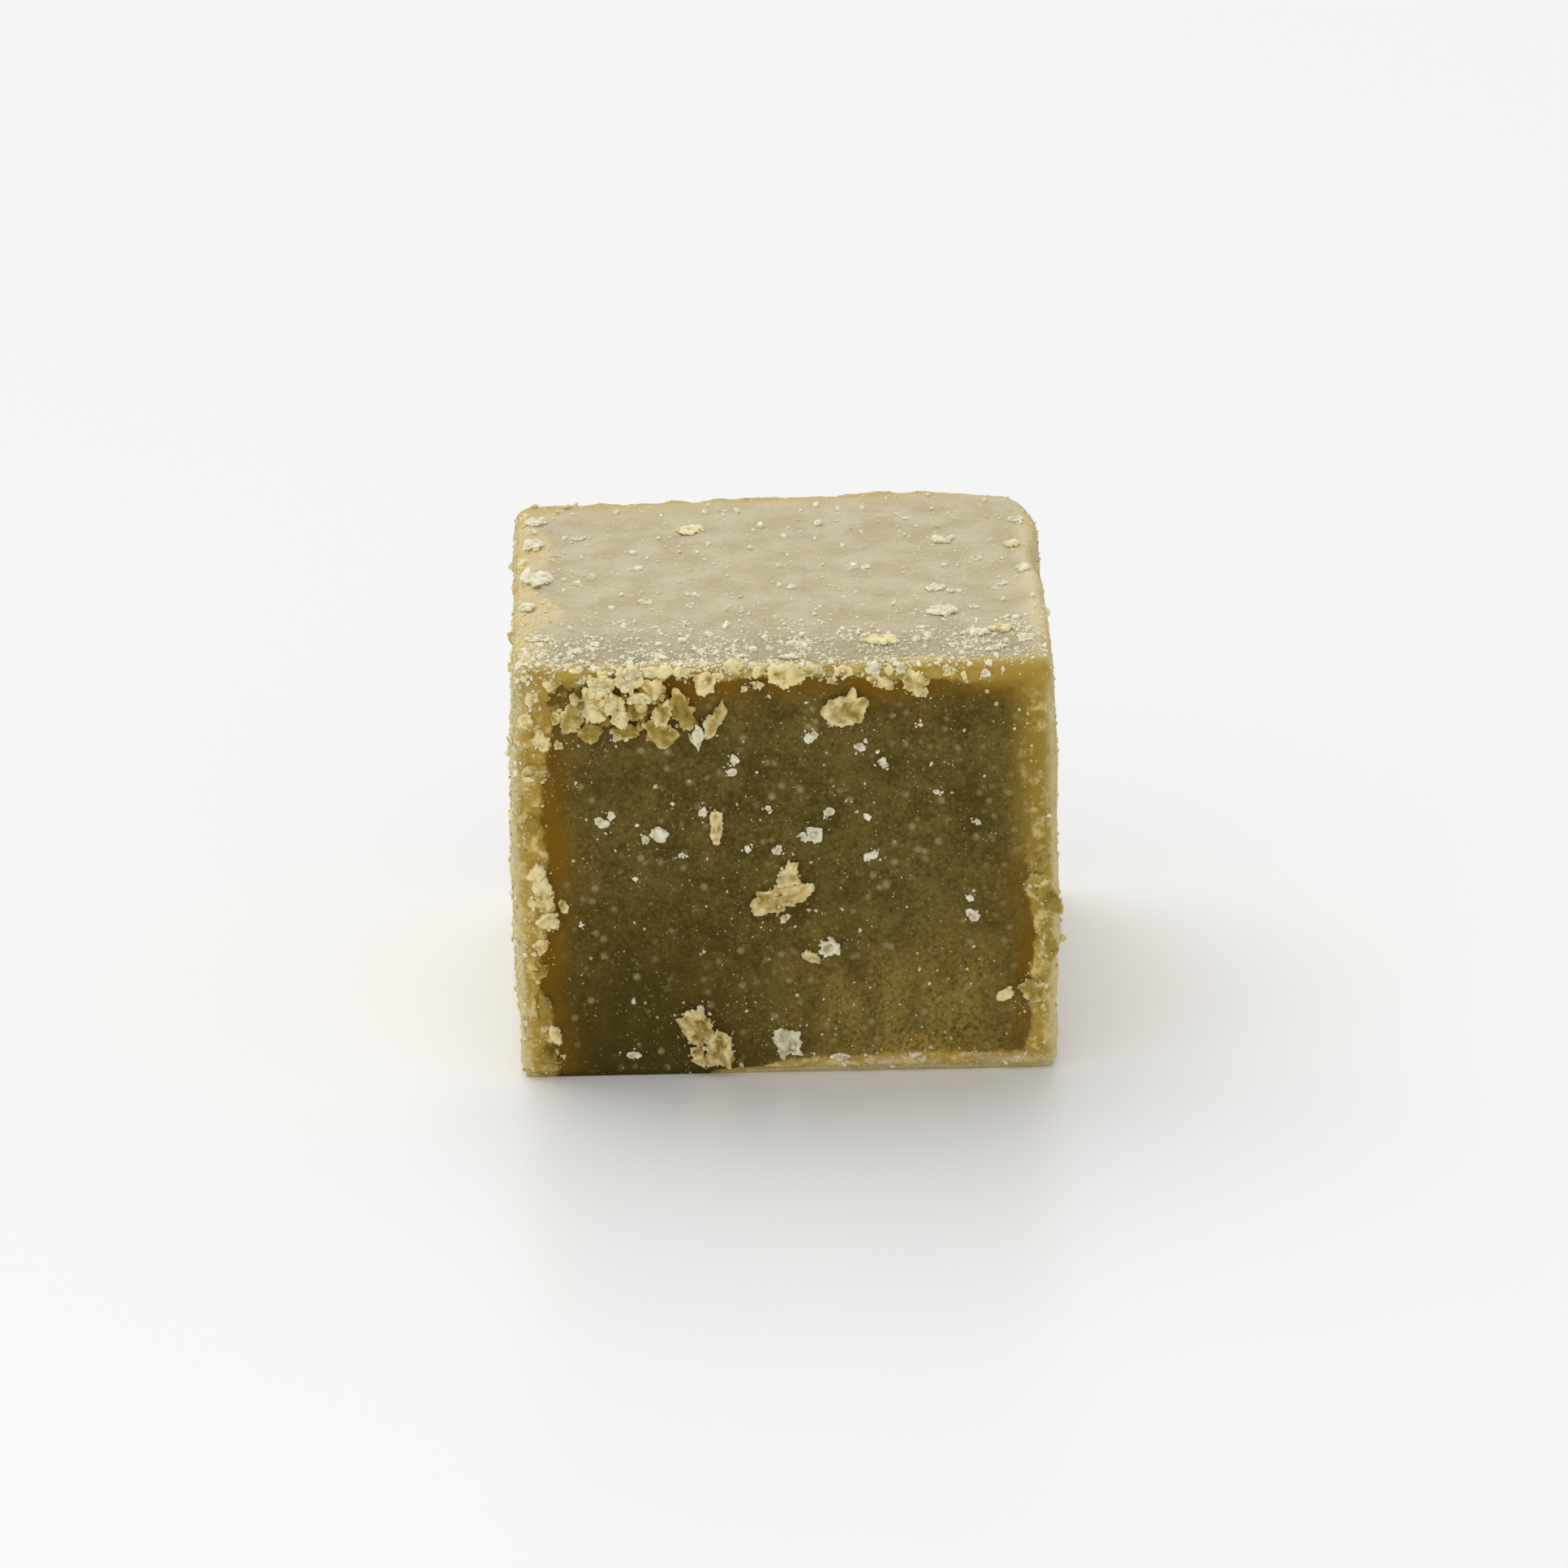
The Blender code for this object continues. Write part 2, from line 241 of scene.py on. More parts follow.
@dataclass(frozen=True)
class Glow:
    """How light goes into a surface.

    The share of it that does, how many mm deep, how far each colour goes, and the strength
    of what the surface itself reflects.
    """

    weight: float
    scale: float
    radius: Colour
    gloss: float


@dataclass(frozen=True)
class BlockForm:
    """Form of the cut block in mm: the frame solid's own rules, with calmer waves up and down."""

    width: float = 20.0
    depth: float = 20.0
    height: float = 16.15
    upright_radius: float = 0.75
    top_radius: float = 0.55
    base_radius: float = 0.45
    base_zone: float = 0.25
    top_zone: float = 0.75
    worn_corner_radius: float = 1.6
    worn_corner_reach: float = 3.2
    side_bulge: float = 0.20
    back_swell: float = 0.40
    back_from: Span = (-0.4, 0.2)
    top_swell: float = 0.22
    top_from: Span = (-1.0, -0.2)
    top_full: float = 0.5
    wave_swing: float = 0.18
    wave_length: float = 5.5
    wave_lift: float = 0.5
    wave_shifts: tuple[Triple, ...] = ((3.1, 0.0, 0.0), (0.0, 7.7, 0.0), (0.0, 0.0, 5.3))
    flat_foot: float = 0.12
    nick_along: float = 2.4
    nick_depth: float = 0.30
    nick_reach: float = 1.6
    step: float = 0.02

    @property
    def half(self) -> Array:
        """Half width, half depth and whole height."""
        return np.array([self.width / 2, self.depth / 2, self.height])

    def edge_radius(self, places: Array) -> Array:
        """Radius of the edges near each place: tight at the base, widest at the worn corner.

        Args:
            places: Places on the sharp box.

        Returns:
            One radius for each.
        """
        rise = places[:, 2] / self.height
        radius = mix(self.base_radius, self.upright_radius, smooth_step(0.0, self.base_zone, rise))
        radius = mix(radius, self.top_radius, smooth_step(self.top_zone, 1.0, rise))
        away = np.linalg.norm(places - self.half, axis=1) / self.worn_corner_reach
        return mix(radius, self.worn_corner_radius, np.exp(-away * away))

    def round_edges(self, places: Array) -> Array:
        """Places on the sharp box moved to the box with rounded edges.

        Args:
            places: Places on the sharp box.

        Returns:
            The same rows, moved.
        """
        radius = self.edge_radius(places)[:, None]
        low = np.hstack([radius - self.half[0], radius - self.half[1], radius])
        high = np.hstack([self.half[0] - radius, self.half[1] - radius, self.half[2] - radius])
        core = np.clip(places, low, high)
        return core + unit(places - core) * radius

    def swell(self, places: Array) -> Array:
        """Soft sag of the block: bulging sides, a fuller back and a slightly domed top.

        Args:
            places: Places on the rounded box.

        Returns:
            How far each moves.
        """
        rise = np.clip(places[:, 2] / self.height, 0.0, 1.0)
        across = places[:, 0] / self.half[0]
        along = places[:, 1] / self.half[1]
        bulge = self.side_bulge * np.sin(math.pi * rise) * across
        to_back = self.back_swell * smooth_step(self.back_from[0], 1.0, across)
        to_back = to_back * smooth_step(self.back_from[1], 1.0, along) * rise
        lift = self.top_swell * smooth_step(self.top_from[0], self.top_full, across)
        lift = lift * smooth_step(self.top_from[1], 1.0, along) * rise**2
        nick_at = np.array([self.half[0], self.nick_along, self.height])
        nick = np.linalg.norm(places - nick_at, axis=1) / self.nick_reach
        return np.stack([bulge - self.nick_depth * np.exp(-nick * nick), to_back, lift], axis=1)

    def waves(self, places: Array) -> Array:
        """Shallow unevenness of every face but the underside.

        Args:
            places: Places on the rounded box.

        Returns:
            How far each moves.
        """
        grounded = smooth_step(0.0, self.flat_foot, places[:, 2] / self.height)
        fields = [soft_noise(places, self.wave_length, shift) for shift in self.wave_shifts]
        swings = np.stack(fields, axis=1) * (self.wave_swing * grounded)[:, None]
        return swings * (1.0, 1.0, self.wave_lift)

    def skin(self, places: Array) -> Array:
        """Places on the real block for places on the sharp box."""
        rounded = self.round_edges(places)
        return rounded + self.swell(rounded) + self.waves(rounded)

    def place(self, face: Face, across: float, up: float) -> Array:
        """Place on the sharp box, from distances along a face's two directions."""
        return face.across * across + face.up * up + np.abs(face.out) * face.out * self.half

    def spot(self, face: Face, across: float, up: float) -> tuple[Array, Array]:
        """Where a thing stuck to a face sits.

        Args:
            face: The face it is on.
            across: Distance along the face's first direction.
            up: Distance along its second one.

        Returns:
            The place on the skin, and a matrix whose columns run across, up and outwards.
        """
        rows = [self.place(face, across, up), self.place(face, across + self.step, up),
                self.place(face, across, up + self.step)]
        here, beside, above = self.skin(np.array(rows))
        side = unit(beside - here)
        out = unit(np.cross(side, above - here))
        return here, np.stack([side, np.cross(out, side), out], axis=1)


@dataclass(frozen=True)
class CrustPlan:
    """How far the dried crust reaches in from each edge, in mm.

    The front face's four edges hold pairs: a place along the edge, and the reach there.
    """

    front_left: Rows = (
        (0.7, 1.28), (2.5, 1.3), (3.7, 0.76), (5.7, 1.1), (8.8, 1.30), (10.3, 1.10),
        (12.1, 1.28), (13.1, 1.35), (14.6, 1.70), (16.0, 1.80),
    )
    front_right: Rows = (
        (0.6, 1.2), (1.5, 1.0), (4.1, 1.0), (5.6, 0.9), (7.2, 1.3), (8.15, 1.2),
        (9.25, 1.1), (12.0, 1.15), (16.0, 1.0),
    )
    front_top: Rows = (
        (-10.0, 0.6), (-8.9, 0.85), (-7.5, 0.85), (-6.7, 0.3), (-3.6, 0.2), (-3.0, 0.5),
        (-2.0, 0.55), (-1.4, 0.42), (1.4, 0.48), (2.6, 0.42), (3.2, 0.62), (4.4, 0.64),
        (6.4, 0.7), (7.4, 0.75), (10.0, 0.7),
    )
    front_base: Rows = (
        (-10.0, 0.5), (-8.9, 0.05), (-3.0, 0.08), (-1.2, 0.30), (0.2, 0.62), (4.0, 0.80),
        (10.0, 0.75),
    )
    soft_from: Span = (6.6, 7.6)
    soft_above: Span = (7.6, 9.4)
    upright: float = 1.0
    side: float = 14.0
    back_top: float = 0.7
    back_base: float = 0.45
    top_front: float = 0.55
    top_left: float = 1.30
    top_right: float = 0.60
    top_back: float = 0.50
    under: float = 0.7
    thinnest: float = 0.30
    bare_border: float = 1.5
    widest_border: float = 4.0

    def distances(self, form: BlockForm, places: Array) -> Array:
        """Distance of each place on the sharp box from its six planes: x, -x, y, -y, z, -z.

        Args:
            form: The block's form.
            places: Places on the sharp box.

        Returns:
            Six distances for each.
        """
        x, y, z = places.T
        half_x, half_y, top = form.half
        return np.stack([half_x - x, x + half_x, half_y - y, y + half_y, top - z, z], axis=1)

    def reaches(self, face: Face, along: Array, height: Array) -> list[Array | float]:
        """Crust reach from the planes x, -x, y, -y, z and -z on one face.

        Args:
            face: The face.
            along: The x of each place on it.
            height: The z of each place on it.

        Returns:
            Six reaches, infinite where no crust comes from.
        """
        none = math.inf
        if face is Face.FRONT:
            return [np.interp(height, *zip(*self.front_right)), np.interp(height, *zip(*self.front_left)),
                    none, none, np.interp(along, *zip(*self.front_top)),
                    np.interp(along, *zip(*self.front_base))]
        if face is Face.BACK:
            return [self.upright, self.upright, none, none, self.back_top, self.back_base]
        if face is Face.TOP:
            return [self.top_right, self.top_left, self.top_back, self.top_front, none, none]
        return [none, none, self.side, self.side, self.side, self.side]

    def soft(self, places: Array) -> Array:
        """Where the cut faces melt into their edge without a torn crust: on the right, high up."""
        return smooth_step(*self.soft_from, places[:, 0]) * smooth_step(*self.soft_above, places[:, 2])

    def border(self, form: BlockForm, places: Array) -> Array:
        """How many crust widths each place lies in from the nearest edge of its face.

        Args:
            form: The block's form.
            places: Places on the sharp box.

        Returns:
            0 at an edge that is crusted over, more further in, and more where an edge is bare.
        """
        far = self.distances(form, places)
        border = np.full(len(places), -1.0)
        under = far[:, 5] < form.step / 2
        border[under] = np.min(far[under, :4], axis=1) / self.under
        for face in Face:
            on_face = np.abs((places - form.place(face, 0.0, 0.0)) @ face.out) < form.step / 2
            shares = []
            for side, reach in enumerate(self.reaches(face, places[on_face, 0], places[on_face, 2])):
                if reach is not math.inf:
                    bare = self.bare_border * np.clip(1.0 - reach / self.thinnest, 0.0, 1.0)
                    shares.append(np.maximum(far[on_face, side] / reach, bare))
            border[on_face] = np.maximum(border[on_face], np.minimum.reduce(shares))
        return np.clip(border, 0.0, self.widest_border)


class Bench:
    """Short calls that lay out one material's nodes. Its sizes are in mm."""

    def __init__(self, name: str) -> None:
        """Start a material whose patterns are read in mm from the piece's own coordinates.

        Args:
            name: The material's name.
        """
        self.material = bpy.data.materials.new(name)
        self.material.use_nodes = True
        self.tree = self.material.node_tree
        self.shader = self.tree.nodes["Principled BSDF"]
        self.place = self.add("ShaderNodeMapping", Vector=self.add("ShaderNodeTexCoord").outputs["Object"],
                              Scale=(1 / MM, 1 / MM, 1 / MM)).outputs["Vector"]

    def add(self, kind: str, settings: dict | None = None, **inputs: object) -> bpy.types.Node:
        """Add a node.

        Args:
            kind: The node's type.
            settings: Its own properties.
            **inputs: A socket or a value for each named input.

        Returns:
            The node.
        """
        node = self.tree.nodes.new(kind)
        for name, value in (settings or {}).items():
            setattr(node, name, value)
        for name, value in inputs.items():
            self.feed(node.inputs[name.replace("_", " ")], value)
        return node

    def feed(self, socket: bpy.types.NodeSocket, value: object) -> None:
        """Link a socket to another one, or set its value.

        Args:
            socket: The socket that is fed.
            value: Another socket, or the value.
        """
        if isinstance(value, bpy.types.NodeSocket):
            self.tree.links.new(value, socket)
        else:
            socket.default_value = value

    def value(self, name: str) -> bpy.types.NodeSocket:
        """The number stored at each point under a name."""
        return self.add("ShaderNodeAttribute", {"attribute_name": name}).outputs["Fac"]

    def noise(self, grain: Grain) -> bpy.types.NodeSocket:
        """Noise of one grain, about 0 to 1."""
        return self.add("ShaderNodeTexNoise", Vector=self.place, Scale=1.0 / grain.size,
                        Detail=grain.detail, Roughness=grain.roughness).outputs["Fac"]

    def swing(self, grain: Grain) -> bpy.types.NodeSocket:
        """Noise of one grain about zero."""
        return self.sum(self.noise(grain), -0.5)

    def packed(self, size: float) -> bpy.types.NodeSocket:
        """Distance from the middle of packed grains of a size in mm."""
        return self.add("ShaderNodeTexVoronoi", Vector=self.place, Scale=1.0 / size).outputs["Distance"]

    def rise(self, value: bpy.types.NodeSocket, span: Span, top: float = 1.0) -> bpy.types.NodeSocket:
        """Smooth rise from 0 to top over a span of the value; it falls if the span runs down.

        Args:
            value: The number that is read.
            span: Where the rise starts and ends.
            top: The height that it reaches.

        Returns:
            The number between 0 and top.
        """
        node = self.add("ShaderNodeMapRange", {"interpolation_type": "SMOOTHSTEP"}, Value=value)
        low, high = span
        for name, number in (("From Min", low), ("From Max", high), ("To Min", 0.0), ("To Max", top)):
            node.inputs[name].default_value = number
        return node.outputs["Result"]

    def sum(self, first: object, second: object, share: float = 1.0) -> bpy.types.NodeSocket:
        """First plus a share of second."""
        return self.work_out("MULTIPLY_ADD", second, share, first)

    def times(self, first: object, second: object) -> bpy.types.NodeSocket:
        """Product of two numbers."""
        return self.work_out("MULTIPLY", first, second)

    def work_out(self, operation: str, *values: object) -> bpy.types.NodeSocket:
        """Work out one number.

        Args:
            operation: The kind of sum.
            *values: Sockets or numbers.

        Returns:
            The result.
        """
        node = self.add("ShaderNodeMath", {"operation": operation})
        for socket, value in zip(node.inputs, values):
            self.feed(socket, value)
        return node.outputs["Value"]

    def tint(self, share: object, low: object, high: object) -> bpy.types.NodeSocket:
        """Colour between two others.

        Args:
            share: 0 for the first colour and 1 for the second.
            low: The first colour.
            high: The second colour.

        Returns:
            The colour.
        """
        node = self.add("ShaderNodeMix", {"data_type": "RGBA"})
        for index, value in ((0, share), (6, low), (7, high)):
            self.feed(node.inputs[index], (*value, 1.0) if isinstance(value, tuple) else value)
        return node.outputs[2]

    def bump(self, height: object, depth: float) -> bpy.types.NodeSocket:
        """Fine relief of a depth in mm."""
        return self.add("ShaderNodeBump", Height=height, Distance=depth * MM).outputs["Normal"]

    def let_light_in(self, glow: Glow) -> None:
        """Let light into the surface.

        Args:
            glow: How it goes in.
        """
        self.shader.inputs["Specular IOR Level"].default_value = glow.gloss
        self.shader.inputs["Subsurface Weight"].default_value = glow.weight
        self.shader.inputs["Subsurface Scale"].default_value = glow.scale * MM
        self.shader.inputs["Subsurface Radius"].default_value = glow.radius

    def finish(self, colour: object, roughness: object, normal: object) -> bpy.types.Material:
        """Feed the surface and hand over the material.

        Args:
            colour: The surface's colour.
            roughness: Its roughness.
            normal: Its fine relief.

        Returns:
            The material.
        """
        self.feed(self.shader.inputs["Base Color"], colour)
        self.feed(self.shader.inputs["Roughness"], roughness)
        self.feed(self.shader.inputs["Normal"], normal)
        return self.material


@dataclass(frozen=True)
class GanacheFinish:
    """Soft ganache: olive brown core with painted shade low on its left, a painted amber glow inside its
    rim, translucent ochre edges and a top of dust with painted sheen.

    Spans are in the units of what they are read against: noise, or crust widths for the border.
    """

    core_dark: Colour = (0.082, 0.058, 0.008)
    core_light: Colour = (0.178, 0.128, 0.027)
    # Painted shade: the colour the front face darkens to towards its lower left.
    deep: Colour = (0.060, 0.040, 0.003)
    bright: Colour = (0.430, 0.300, 0.062)
    fleck: Colour = (0.36, 0.30, 0.13)
    # Painted glow: amber light coming through the ganache just inside its crust.
    painted_amber_glow: Colour = (0.215, 0.108, 0.004)
    ochre: Colour = (0.47, 0.310, 0.052)
    melted: Colour = (0.35, 0.235, 0.036)
    frosted: Colour = (0.66, 0.555, 0.280)
    straw: Colour = (0.78, 0.64, 0.270)
    back_band: Colour = (0.51, 0.380, 0.145)
    # Dust on the top and sides; these colours also hold painted sheen.
    dust_and_sheen_dark: Colour = (0.490, 0.420, 0.257)
    dust_and_sheen_light: Colour = (0.590, 0.520, 0.347)
    pale_crust: Colour = (0.75, 0.640, 0.400)
    powder: Colour = (0.86, 0.81, 0.64)
    roughness: float = 0.55
    dry_roughness: float = 0.85
    glow: Glow = Glow(0.30, 0.6, (1.0, 0.62, 0.28), 0.08)

    blotches: Grain = Grain(1.3, 3.0, 0.6)
    fine_mottle: Grain = Grain(0.12, 3.0, 0.6)
    mid_mottle: Grain = Grain(0.27)
    mottle_shares: Span = (1.15, 0.6)
    mottle_span: Span = (0.20, 0.80)
    bright_grain: Grain = Grain(0.17, 4.0, 0.65)
    bright_span: Span = (0.30, 0.64)
    dot_size: float = 0.62
    dot_span: Span = (0.32, 0.10)
    dot_field: Grain = Grain(0.8)
    dot_field_span: Span = (0.36, 0.60)
    dot_strength: float = 0.75
    grit_size: float = 0.21
    grit_span: Span = (0.32, 0.06)
    grit_field: Grain = Grain(0.5)
    grit_field_span: Span = (0.43, 0.58)
    grit_strength: float = 0.55

    inward_grain: Grain = Grain(0.5, 4.0, 0.65)
    inward_wobble: float = 0.7
    ochre_span: Span = (0.02, 0.42)
    melted_span: Span = (-0.25, 0.55)
    # Straw in random patches, and painted light on lumps that stand proud.
    straw_patch_grain: Grain = Grain(0.6, 5.0, 0.7)
    painted_lump_light: float = 0.45
    straw_and_lump_light_span: Span = (0.72, 0.95)
    straw_and_lump_light_strength: float = 0.8
    straw_grain: Grain = Grain(0.15, 3.0, 0.65)
    straw_span: Span = (0.54, 0.72)
    straw_strength: float = 0.30
    pale_strength: float = 0.85
    golden_strength: float = 0.9

    torn_grain: Grain = Grain(0.45, 4.0, 0.7)
    torn_wobble: float = 0.7
    torn_span: Span = (1.08, 0.85)
    melting_span: Span = (1.8, 0.5)
    dust_clouds: Grain = Grain(1.6)
    dust_mottle: Grain = Grain(0.36)
    dust_share: float = 0.4
    dust_span: Span = (0.28, 0.72)
    speck_grain: Grain = Grain(0.085, 1.0)
    speck_gain: float = 0.10
    speck_span: Span = (0.74, 0.82)
    relief_grain: Grain = Grain(0.10, 3.0, 0.6)
    relief_shares: Span = (0.25, 0.45)
    relief_depth: float = 0.05

    def core(self, bench: Bench) -> bpy.types.NodeSocket:
        """Colour of the cut face: grainy olive, darker with painted shade at its lower left and lighter in
        patches, with flecks and a painted amber glow inside the crust.

        Args:
            bench: Where the nodes are laid out.

        Returns:
            The colour.
        """
        fine, middle = self.mottle_shares
        mottle = bench.sum(bench.noise(self.blotches), bench.swing(self.fine_mottle), fine)
        mottle = bench.sum(mottle, bench.swing(self.mid_mottle), middle)
        core = bench.tint(bench.rise(mottle, self.mottle_span), self.core_dark, self.core_light)
        # Painted shade towards the front face's lower left.
        core = bench.tint(bench.value("deep"), core, self.deep)
        grainy = bench.rise(bench.noise(self.bright_grain), self.bright_span)
        core = bench.tint(bench.times(bench.value("bright"), grainy), core, self.bright)
        for size, span, grain, field_span, strength in (
            (self.dot_size, self.dot_span, self.dot_field, self.dot_field_span, self.dot_strength),
            (self.grit_size, self.grit_span, self.grit_field, self.grit_field_span, self.grit_strength),
        ):
            where = bench.rise(bench.noise(grain), field_span, strength)
            core = bench.tint(bench.times(bench.rise(bench.packed(size), span), where), core, self.fleck)
        # Painted amber glow inside the crust.
        return bench.tint(bench.value("painted_amber_glow"), core, self.painted_amber_glow)

    def crust(self, bench: Bench) -> bpy.types.NodeSocket:
        """Colour of the edges: frosted outside, ochre inside, straw in patches, and straw as painted light
        where a lump stands proud.

        Args:
            bench: Where the nodes are laid out.

        Returns:
            The colour.
        """
        inward = bench.sum(bench.value("border"), bench.swing(self.inward_grain), self.inward_wobble)
        crust = bench.tint(bench.rise(inward, self.ochre_span), self.frosted, self.ochre)
        melted = bench.tint(bench.rise(inward, self.melted_span), self.frosted, self.melted)
        crust = bench.tint(bench.value("soft"), crust, melted)
        # Straw in random patches, and painted light on lumps that stand proud.
        worn = bench.sum(bench.noise(self.straw_patch_grain), bench.value("proud"), self.painted_lump_light)
        crust = bench.tint(bench.rise(worn, self.straw_and_lump_light_span, self.straw_and_lump_light_strength), crust, self.straw)
        grainy = bench.rise(bench.noise(self.straw_grain), self.straw_span, self.straw_strength)
        crust = bench.tint(grainy, crust, self.straw)
        # Paler crust under dust, with painted sheen on the top.
        crust = bench.tint(bench.times(bench.value("dust_and_sheen"), self.pale_strength), crust, self.pale_crust)
        crust = bench.tint(bench.times(bench.value("golden"), self.golden_strength), crust, self.ochre)
        return bench.tint(bench.value("bare"), crust, self.back_band)

    def crusted(self, bench: Bench) -> bpy.types.NodeSocket:
        """Where the crust covers the core: torn at its inner rim, or melting where it is soft.

        Args:
            bench: Where the nodes are laid out.

        Returns:
            1 on the crust and 0 on the core.
        """
        border = bench.value("border")
        torn = bench.rise(bench.sum(border, bench.swing(self.torn_grain), self.torn_wobble), self.torn_span)
        melting = bench.rise(border, self.melting_span)
        return bench.sum(torn, bench.times(bench.value("soft"), bench.sum(melting, torn, -1.0)))

    def make(self) -> bpy.types.Material:
        """Build the material.

        Returns:
            The material.
        """
        bench = Bench("ganache")
        crusted = self.crusted(bench)
        dust_and_sheen = bench.value("dust_and_sheen")
        # Dust colour that also holds painted sheen.
        dusting = bench.sum(bench.noise(self.dust_clouds), bench.swing(self.dust_mottle), self.dust_share)
        dusting = bench.tint(bench.rise(dusting, self.dust_span), self.dust_and_sheen_dark, self.dust_and_sheen_light)
        surface = bench.tint(dust_and_sheen, self.core(bench), dusting)
        edge = bench.sum(crusted, bench.times(bench.value("bare"), bench.sum(1.0, crusted, -1.0)))
        surface = bench.tint(edge, surface, self.crust(bench))
        specks = bench.sum(bench.noise(self.speck_grain), bench.value("powdered"), self.speck_gain)
        surface = bench.tint(bench.rise(specks, self.speck_span), surface, self.powder)
        dry = bench.rise(bench.sum(crusted, dust_and_sheen), (0.0, 1.0))
        roughness = bench.sum(self.roughness, dry, self.dry_roughness - self.roughness)
        smooth, rough = self.relief_shares
        grit = bench.times(bench.noise(self.relief_grain), bench.sum(smooth, dry, rough))
        bench.let_light_in(self.glow)
        return bench.finish(surface, roughness, bench.bump(grit, self.relief_depth))


@dataclass(frozen=True)
class CrumbFinish:
    """Dried crumbs: from dark brown and painted shade in the gaps through tan to pale straw, with cream
    specks and painted highlights, translucent at thin edges.
    """

    # Painted shade in the gaps and hollows of the heap, and the darkest crumbs.
    rust: Colour = (0.17, 0.095, 0.010)
    tan: Colour = (0.41, 0.290, 0.052)
    straw: Colour = (0.98, 0.80, 0.395)
    # Cream specks, also painted highlights on the crumbs.
    cream_specks_and_highlight: Colour = (0.98, 0.88, 0.610)
    roughness: float = 0.6
    glow: Glow = Glow(0.5, 0.22, (1.0, 0.75, 0.35), 0.15)
    shade_grain: Grain = Grain(0.28, 4.0, 0.6)
    shade_swing: float = 0.7
    straw_span: Span = (0.0, 1.0)
    rust_span: Span = (-0.05, -0.55)
    speck_and_highlight_grain: Grain = Grain(0.22, 3.0, 0.6)
    speck_and_highlight_by_tone: float = 0.12
    speck_and_highlight_span: Span = (0.64, 0.78)
    speck_and_highlight_strength: float = 0.6
    relief_grain: Grain = Grain(0.09, 3.0, 0.65)
    relief_depth: float = 0.05

    def make(self) -> bpy.types.Material:
        """Build the material.

        Returns:
            The material.
        """
        bench = Bench("dried_crumb")
        shade = bench.sum(bench.value("tone"), bench.swing(self.shade_grain), self.shade_swing)
        colour = bench.tint(bench.rise(shade, self.straw_span), self.tan, self.straw)
        # Lowest tones turn dark brown: painted shade in the gaps and hollows.
        colour = bench.tint(bench.rise(shade, self.rust_span), colour, self.rust)
        # Cream specks and painted highlights, more on paler crumbs.
        frosted = bench.sum(bench.noise(self.speck_and_highlight_grain), bench.value("tone"), self.speck_and_highlight_by_tone)
        colour = bench.tint(bench.rise(frosted, self.speck_and_highlight_span, self.speck_and_highlight_strength), colour, self.cream_specks_and_highlight)
        bench.let_light_in(self.glow)
        relief = bench.bump(bench.noise(self.relief_grain), self.relief_depth)
        return bench.finish(colour, self.roughness, relief)


@dataclass(frozen=True)
class PowderFinish:
    """Powder grains, from khaki dust to white."""

    dust: Colour = (0.50, 0.42, 0.21)
    white: Colour = (0.95, 0.90, 0.69)
    roughness: float = 0.9
    glow: Glow = Glow(0.2, 0.12, (1.0, 0.9, 0.75), 0.15)
    white_span: Span = (0.0, 0.9)
    relief_grain: Grain = Grain(0.07, 3.0)
    relief_depth: float = 0.03

    def make(self) -> bpy.types.Material:
        """Build the material.

        Returns:
            The material.
        """
        bench = Bench("powder")
        colour = bench.tint(bench.rise(bench.value("tone"), self.white_span), self.dust, self.white)
        bench.let_light_in(self.glow)
        relief = bench.bump(bench.noise(self.relief_grain), self.relief_depth)
        return bench.finish(colour, self.roughness, relief)


@dataclass
class Mould:
    """One kind of crumb, modelled a few times over, that is copied to where it is needed."""

    SPACING: ClassVar[float] = 3.7
    NUGGET_RADIUS: ClassVar[float] = 0.42
    NUGGET_CLOUDS: ClassVar[Rows] = ((0.55, 0.9), (0.20, 0.18))
    SHARD_RADIUS: ClassVar[float] = 0.5

    shapes: list[tuple[Array, Array]]

    @classmethod
    def nuggets(cls, detail: int, kinds: int) -> "Mould":
        """Lumpy crumbs: spheres pushed in and out by clouds of two sizes.

        Args:
            detail: The sphere's subdivisions: 3 gives 320 faces.
            kinds: How many different crumbs.

        Returns:
            The mould.
        """
        shapes = []
        clouds = bpy.data.textures.new("clouds", "CLOUDS")
        for place in range(kinds):
            deselect_all()
            bpy.ops.mesh.primitive_ico_sphere_add(subdivisions=detail, radius=cls.NUGGET_RADIUS,
                                                  location=(cls.SPACING * place, 0.0, 0.0))
            nugget = bpy.context.object
            for size, strength in cls.NUGGET_CLOUDS:
                clouds.noise_scale = size
                dents = nugget.modifiers.new("dents", "DISPLACE")
                dents.texture = clouds
                dents.texture_coords = "GLOBAL"
                dents.strength = strength
                bpy.ops.object.modifier_apply(modifier=dents.name)
            shapes.append(take_shape(nugget))
        return cls(shapes)

    @classmethod
    def shards(cls, detail: int, jitter: float, kinds: int) -> "Mould":
        """Angular crumbs: the hulls of roughened spheres.

        Args:
            detail: The sphere's subdivisions: 1 gives up to 20 faces, 2 up to 80.
            jitter: How far each point may move, for a crumb of size 1.
            kinds: How many different crumbs.

        Returns:
            The mould.
        """
        shapes = []
        for seed in range(kinds):
            deselect_all()
            bpy.ops.mesh.primitive_ico_sphere_add(subdivisions=detail, radius=cls.SHARD_RADIUS)
            shard = bpy.context.object
            bpy.ops.object.mode_set(mode="EDIT")
            bpy.ops.mesh.select_all(action="SELECT")
            bpy.ops.transform.vertex_random(offset=jitter, uniform=1.0, seed=seed)
            bpy.ops.mesh.delete(type="ONLY_FACE")
            bpy.ops.mesh.select_all(action="SELECT")
            bpy.ops.mesh.convex_hull()
            bpy.ops.mesh.quads_convert_to_tris()
            bpy.ops.object.mode_set(mode="OBJECT")
            shapes.append(take_shape(shard))
        return cls(shapes)


